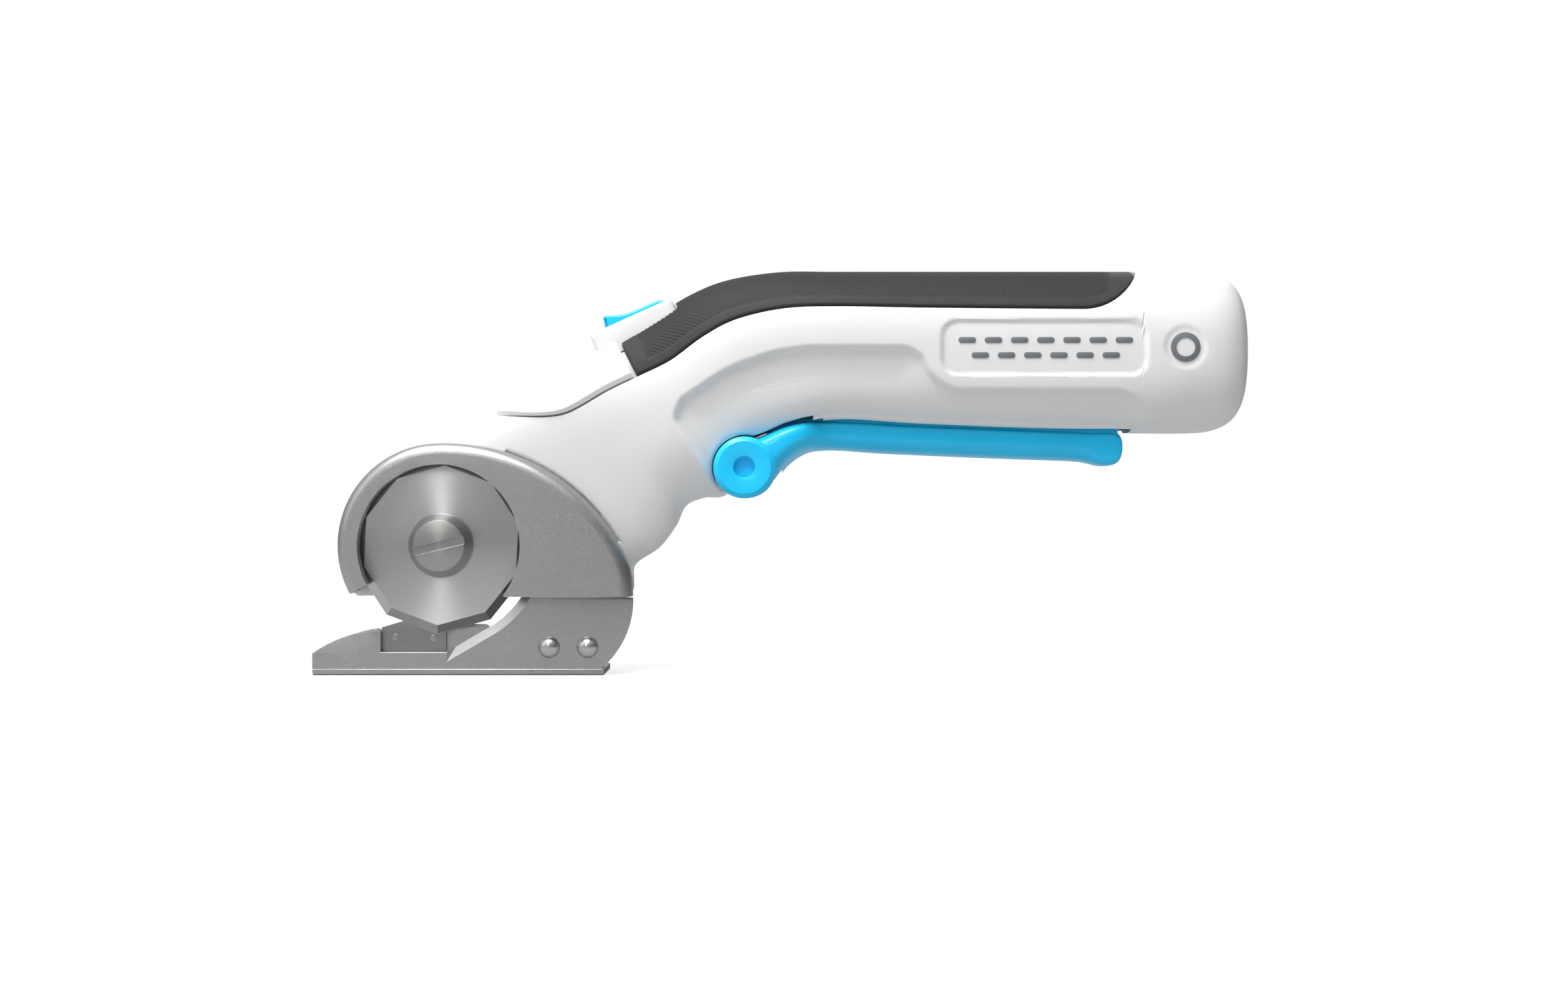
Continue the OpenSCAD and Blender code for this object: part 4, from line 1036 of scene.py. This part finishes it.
spring = rings("return_spring", [coil_ring(k) for k in range(COIL_STEPS * SPRING_TURNS + 1)])
piece(spring, "steel", ["lever_spring"], 40)
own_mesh(spring)


# ---- blade and its screw

BLADE_BACK = span("blade")[1][1]
EDGE_R, FACE_R, BORE_R = 23.66, 21.26, 4.0
PER_SIDE = 12


def polar(r, angle):
    """A place about the axle, at an angle in radians from the top, with the blade's own turn."""
    a = angle + radians(BLADE_TURN)
    return AXLE[0] + r * sin(a), AXLE[1] + r * cos(a)


def decagon_row(r, y):
    """Points round the ten-sided blade, with one corner at the top, leaning a little back."""
    pts = [np.array(polar(r, radians(36 * k))) for k in range(SIDES + 1)]
    line = [a + (b - a) * j / PER_SIDE for a, b in zip(pts, pts[1:]) for j in range(PER_SIDE)]
    return [(x, y, z) for x, z in line]


def round_row(r, y):
    n = SIDES * PER_SIDE
    return [(x, y, z) for x, z in (polar(r, 2 * pi * k / n) for k in range(n))]


blade = rings("ten_sided_blade", [
    round_row(BORE_R, BLADE_FRONT + 0.1), round_row(BORE_R + 0.1, BLADE_FRONT),
    decagon_row(FACE_R, BLADE_FRONT), decagon_row(EDGE_R, BLADE_BACK - 0.06),
    decagon_row(EDGE_R, BLADE_BACK), round_row(BORE_R + 0.1, BLADE_BACK),
    round_row(BORE_R, BLADE_BACK - 0.1), round_row(BORE_R, BLADE_FRONT + 0.1)], caps=False)
piece(blade, "blade_steel", ["blade"], 12, "cutter")

TOP_R, BASE_R, FLANGE_R = 6.8, 8.4, 8.6
SCREW_TOP = span("blade_screw")[0][1]
screw = lathe("blade_bolt", [
    (0, SCREW_TOP), (TOP_R - 0.25, SCREW_TOP), (TOP_R - 0.06, SCREW_TOP + 0.08), (TOP_R, SCREW_TOP + 0.28),
    *[(r, BLADE_FRONT - lift) for r, lift in (
        (BASE_R - 0.05, 0.85), (BASE_R + 0.02, 0.72), (FLANGE_R - 0.1, 0.68), (FLANGE_R, 0.55),
        (FLANGE_R, 0.02), (FLANGE_R - 0.1, 0.005), (2.0, 0.005))],
    (2.0, -5.2), (1.7, -5.0), (0, -5.0)], AXLE, 128)
SLOT_TILT, SLOT_HW, SLOT_DEPTH, SLOT_SHALLOW = 13.6, 1.1, 0.55, 0.5
turn = Matrix.Translation((AXLE[0], 0, AXLE[1])) @ Matrix.Rotation(radians(-SLOT_TILT), 4, "Y")
slot_section = [(SCREW_TOP - 2, -SLOT_HW), (SCREW_TOP + SLOT_SHALLOW, -SLOT_HW),
                (SCREW_TOP + SLOT_DEPTH, SLOT_HW), (SCREW_TOP - 2, SLOT_HW)]
cut(screw, slab(slot_section, -10, 10, lambda u, v, w: tuple(turn @ Vector((w, u, v)))))
soften(screw, 0.09, 50, 2)
piece(screw, "screw_steel", ["blade_screw"], 30, "cutter")


# ---- cover

WINDOW_R, WINDOW_DEPTH, ARM_END, COVER_TO = 21.5, 4.8, 208.2, 262
COVER_WALL, COVER_EDGE = 2.1, 3.1
COVER_SCREWS = [(24, 51), (38.5, 40.5)]
THROAT_X = 17.6
THROUGH = (COVER_FACE - 5, COVER_BACK + 5)

cover = stack("guard", cover_outline(0, 0, COVER_TO), rounded(COVER_FACE, COVER_BACK, COVER_EDGE, 0, 9))
throat_end = 360 + degrees(atan2(FOOT_Z - AXLE[1], THROAT_X))
throat = [tuple(AXLE)] + arc(*AXLE, 60, ARM_END, throat_end, 9)
cut(cover,
    block(-80, 80, *THROUGH, -60, FOOT_Z), rod(AXLE, *THROUGH, WINDOW_R, 200))
cut(cover, slab(throat, *THROUGH))
deep = slab(cover_outline(-COVER_WALL, 0, COVER_TO), COVER_FACE + 2, COVER_BACK + 2)
cut(deep, rod(AXLE, COVER_FACE, COVER_FACE + WINDOW_DEPTH, WINDOW_R + 2.6, 160),
    *rods(COVER_SCREWS, COVER_FACE, COVER_BACK + 5, 3, 32))
cut(cover, deep)
cut(cover, block(19.5, 48.7, COVER_FACE + 4.2, COVER_BACK + 3, FOOT_Z - 1, FOOT_Z + 3),
    *rods(COVER_SCREWS, -15.5, COVER_BACK + 3, 1.5, 24))
soften(cover, 0.28, 48, 3)
piece(cover, "cover_silver", ["blade_cover"], 30)


# ---- shoe and fixed blade

WEB_BACK, POCKET_Y = -9.75, -10.75
CLEAR_R = 25.2
POCKET_Z, FIXED_X0, FIXED_X1 = 6.2, -16.1, 1.1
RIVETS, RIVET_R, FIXED_RIVET_R = [(28.7, 7.5), (38.9, 7.5)], 1.6, 1.05
SHOE_SCREWS = [(30, 31.5), (40, 31.5)]
FIXED_RIVETS = [(-12.5, 10.1), (-2.3, 9.8)]
SOLE_T = 1.8
CHAMFER = 2.3

clear_arc = arc(*AXLE, CLEAR_R, -60, 2, 60)
web_line = ([(SOLE_X0, 1.72), (SOLE_X0, 2.7)] + arc(-12.6, -25.5, 38.2, 124.8, 97.1, 30)
            + [(FIXED_X0 - 0.25, 11.95), (FIXED_X0, 11.6), (FIXED_X0, POCKET_Z), (1.4, POCKET_Z)] + clear_arc
            + [(28, 38), (36, 36), (43.8, 34), (43.8, 21), (50.9, 20.6)]
            + arc(26.95, 20, 24, 1.4, -46, 28) + [(SOLE_X1 - 0.2, 2.4), (SOLE_X1 - 0.2, 1.72)])
web = stack("shoe_plate", web_line, rounded(WEB_FRONT, WEB_BACK, 0.22, 0.3, 3))
pocket = [(FIXED_X0 - 0.4, 3), (FIXED_X0 - 0.4, 12.2), (-10, 13.5), (11.6, 13.5), (12.6, 12.8), (13, 3)]
pocket = fillet(pocket, [0, 0.5, 0.5, 1, 0.5, 0])
add(web, stack("tool", pocket, rounded(POCKET_Y, WEB_BACK - 0.002, 0.15, 0, 3)))
cleared = [(1.4 + CHAMFER, POCKET_Z + 1.35)] + clear_arc + [(24, 60), (1.4 + CHAMFER, 60)]
ramped = [(-CHAMFER - 0.35, WEB_FRONT - 0.2), (0, WEB_FRONT + 1.2), (0.4, WEB_FRONT + 1.25)]
cut(web, stack("tool", cleared, ramped))
cut(web, block(19, 59, WEB_FRONT - 1, WEB_FRONT + 0.9, 20.95, 51))
bend = [(SOLE_Y1, 0), (SOLE_Y1, SOLE_T), (WEB_FRONT, SOLE_T), (WEB_FRONT, 0)]
bend = fillet(bend, [0.7, 0.7, 0.35, 1.7], 8)
add(web, stack("tool", bend, rounded(SOLE_X0, SOLE_X1, 0.35, 0.35, 3), along_x))
cut(web, *rods(RIVETS + SHOE_SCREWS, -20, 0, RIVET_R, 32), *rods(FIXED_RIVETS, -20, 0, FIXED_RIVET_R, 32))
piece(web, "shoe_steel", ["shoe"], 18)

domes = []
cap_r, cap_h = 2.85, 1.75
for place in RIVETS:
    big = (cap_r ** 2 + cap_h ** 2) / (2 * cap_h)
    cap = [(big * sin(a), WEB_FRONT - cap_h + big * (1 - cos(a)))
           for a in np.linspace(0, asin(cap_r / big), 16)]
    cap[0] = (0, WEB_FRONT - cap_h)
    tail = [(RIVET_R, WEB_FRONT), (RIVET_R, WEB_BACK + 0.01), (2.6, WEB_BACK + 0.01), (2.6, WEB_BACK + 0.6),
            (2.4, WEB_BACK + 0.8), (0, WEB_BACK + 0.8)]
    domes.append(lathe("dome", cap + [(cap_r + 0.02, WEB_FRONT)] + tail, place, 64))
piece(joined("dome_rivets", *domes), "rivet_steel", ["shoe_rivets"], 35)

slope = tan(radians(17)) * (FIXED_X1 - FIXED_X0)
FIXED_FRONT = span("fixed_blade")[0][1]
fixed = stack("counter_blade", [(FIXED_X0 + 0.9, POCKET_Z), (FIXED_X1, POCKET_Z), (FIXED_X1, 12.7 + slope),
                                (FIXED_X0, 12.7), (FIXED_X0, POCKET_Z + 0.9)],
              rounded(FIXED_FRONT, POCKET_Y, 0.1, 0, 2))
cut(fixed, *rods(FIXED_RIVETS, FIXED_FRONT - 1, POCKET_Y + 1, FIXED_RIVET_R, 40))
piece(fixed, "blade_dark", ["fixed_blade"], 25)
head = [(0, FIXED_FRONT - 0.03), (0.75, FIXED_FRONT), (1.0, FIXED_FRONT + 0.08),
        (FIXED_RIVET_R, FIXED_FRONT + 0.2), (FIXED_RIVET_R, WEB_BACK + 0.5), (0.9, WEB_BACK + 0.6),
        (0, WEB_BACK + 0.6)]
heads = [lathe("head", head, place, 40) for place in FIXED_RIVETS]
piece(joined("counter_blade_rivets", *heads), "screw_steel", ["fixed_blade_rivets"], 35)


# ---- generic marks on the handle

MARK_RAISED = 0.28
skin_tree = BVHTree.FromObject(near_shell, bpy.context.evaluated_depsgraph_get())


def skin_y(x, z):
    """Depth of the near skin at a place in the side view."""
    hit = skin_tree.ray_cast(Vector((x * MM, -0.1, z * MM)), Vector((0, 1, 0)))[0]
    return hit.y / MM if hit else -18.0


def mark(name, loop):
    """A raised figure that follows the skin."""
    levels = [(0, -0.5), (0, MARK_RAISED - 0.14), (0.05, MARK_RAISED - 0.04), (0.16, MARK_RAISED)]
    return stack(name, loop, levels, lambda u, v, w: (u, skin_y(u, v) - w, v))


DASH_X, DASH_L, DASH_W, DASH_STEP = 137.2, 4.6, 1.5, 6.9
dashes = []
for z, shift, count in ((88.9, 0.0, 7), (84.9, DASH_STEP / 2, 6)):
    for k in range(count):
        x0 = DASH_X + shift + DASH_STEP * k
        dashes.append(mark("dash", rounded_box(x0, x0 + DASH_L, z - DASH_W / 2, z + DASH_W / 2, 0.74)))
piece(joined("stitch_mark", *dashes), "mark_grey", (), 40)
RING_OUTER, RING_INNER = 3.9, 2.5
ring_mark = mark("ring_mark", arc(*REAR_MARK, RING_OUTER, 0, 354, 60))
cut(ring_mark, rod(REAR_MARK, -30, 0, RING_INNER, 48))
piece(ring_mark, "mark_grey", (), 40)


# ---- finishes on the CAD's own nodes

for node, obj in frame["nodes"].items():
    if obj.hide_render:
        continue
    name = next(s["material_slot"] for s in frame["record"]["subparts"] if s["node"] == node)
    if not obj.material_slots:
        obj.data.materials.append(None)
    for place in obj.material_slots:
        place.link = "OBJECT"
        place.material = material(name)


# ---- stage, light and camera

def floor_material():
    t = Tree("studio_floor")
    t.feed("Base Color", t.mix(t.ramp(t.noise(60, 2), 0.3, 0.7), (0.42, 0.42, 0.42), (0.44, 0.44, 0.44)))
    t.fixed("Emission Color", (1, 1, 1, 1))
    glow = t.ramp(t.vector("LENGTH", t.place), 0.1, 0.5, 0.72, 1.0)
    seen = t.node("LightPath").outputs["Is Camera Ray"]
    t.feed("Emission Strength", t.math("MULTIPLY", glow, seen))
    t.fixed("Roughness", 0.9)
    t.fixed("Specular IOR Level", 0.1)
    return t.mat


floor = block(-6000, 6000, -6000, 6000, -20, -0.05)
floor.name = "studio_floor"
floor.data.materials.append(floor_material())


def softbox(name, place, aim, size, power):
    data = bpy.data.lights.new(name, "AREA")
    data.shape, data.size, data.size_y = "RECTANGLE", size[0], size[1]
    data.energy = power
    obj = linked(name, data)
    obj.location = place
    obj.rotation_euler = (Vector(aim) - Vector(place)).to_track_quat("-Z", "Y").to_euler()


CENTRE = (0.09, 0.0, 0.06)
softbox("key_top", (-0.12, -0.3, 0.8), CENTRE, (0.6, 0.35), 8.2)
softbox("left_soft", (-0.75, -0.45, 0.45), CENTRE, (0.5, 0.6), 0.8)
softbox("front_strip", (-0.13, -0.75, 0.45), (0, 0, 0.03), (0.06, 0.45), 0.75)
softbox("back_rim", (0.25, 0.8, 0.6), CENTRE, (0.9, 0.4), 1.6)

world = bpy.data.worlds.new("studio")
world.use_nodes = True
sky = Nodes(world.node_tree)
white = (1, 1, 1, 1)
split = sky.node("SeparateXYZ", Vector=sky.node("TexCoord").outputs["Generated"])
lean = sky.node("Math", split.outputs["X"], -0.35, split.outputs["Z"])
lean.operation = "MULTIPLY_ADD"
glow = sky.ramp(lean.outputs[0], 0.0, 0.85, 0.08, 0.76)
ground = sky.node("Background", Color=white, Strength=glow)
backdrop = sky.node("Background", Color=white, Strength=1.05)
seen = sky.node("LightPath").outputs["Is Camera Ray"]
blend = sky.node("MixShader", seen, ground.outputs[0], backdrop.outputs[0])
sky.links.new(blend.outputs[0], world.node_tree.nodes["World Output"].inputs[0])
scene.world = world
scene.view_settings.view_transform = "Standard"

camera = bpy.data.cameras.new("photo_view")
camera.sensor_width = 36.0
camera.lens = 50.64
camera.clip_start, camera.clip_end = 0.01, 50.0
view = linked("photo_view", camera)
view.location = (0.0912, -0.600, 0.0484)
view.rotation_euler = (radians(90), 0, 0)
scene.camera = view
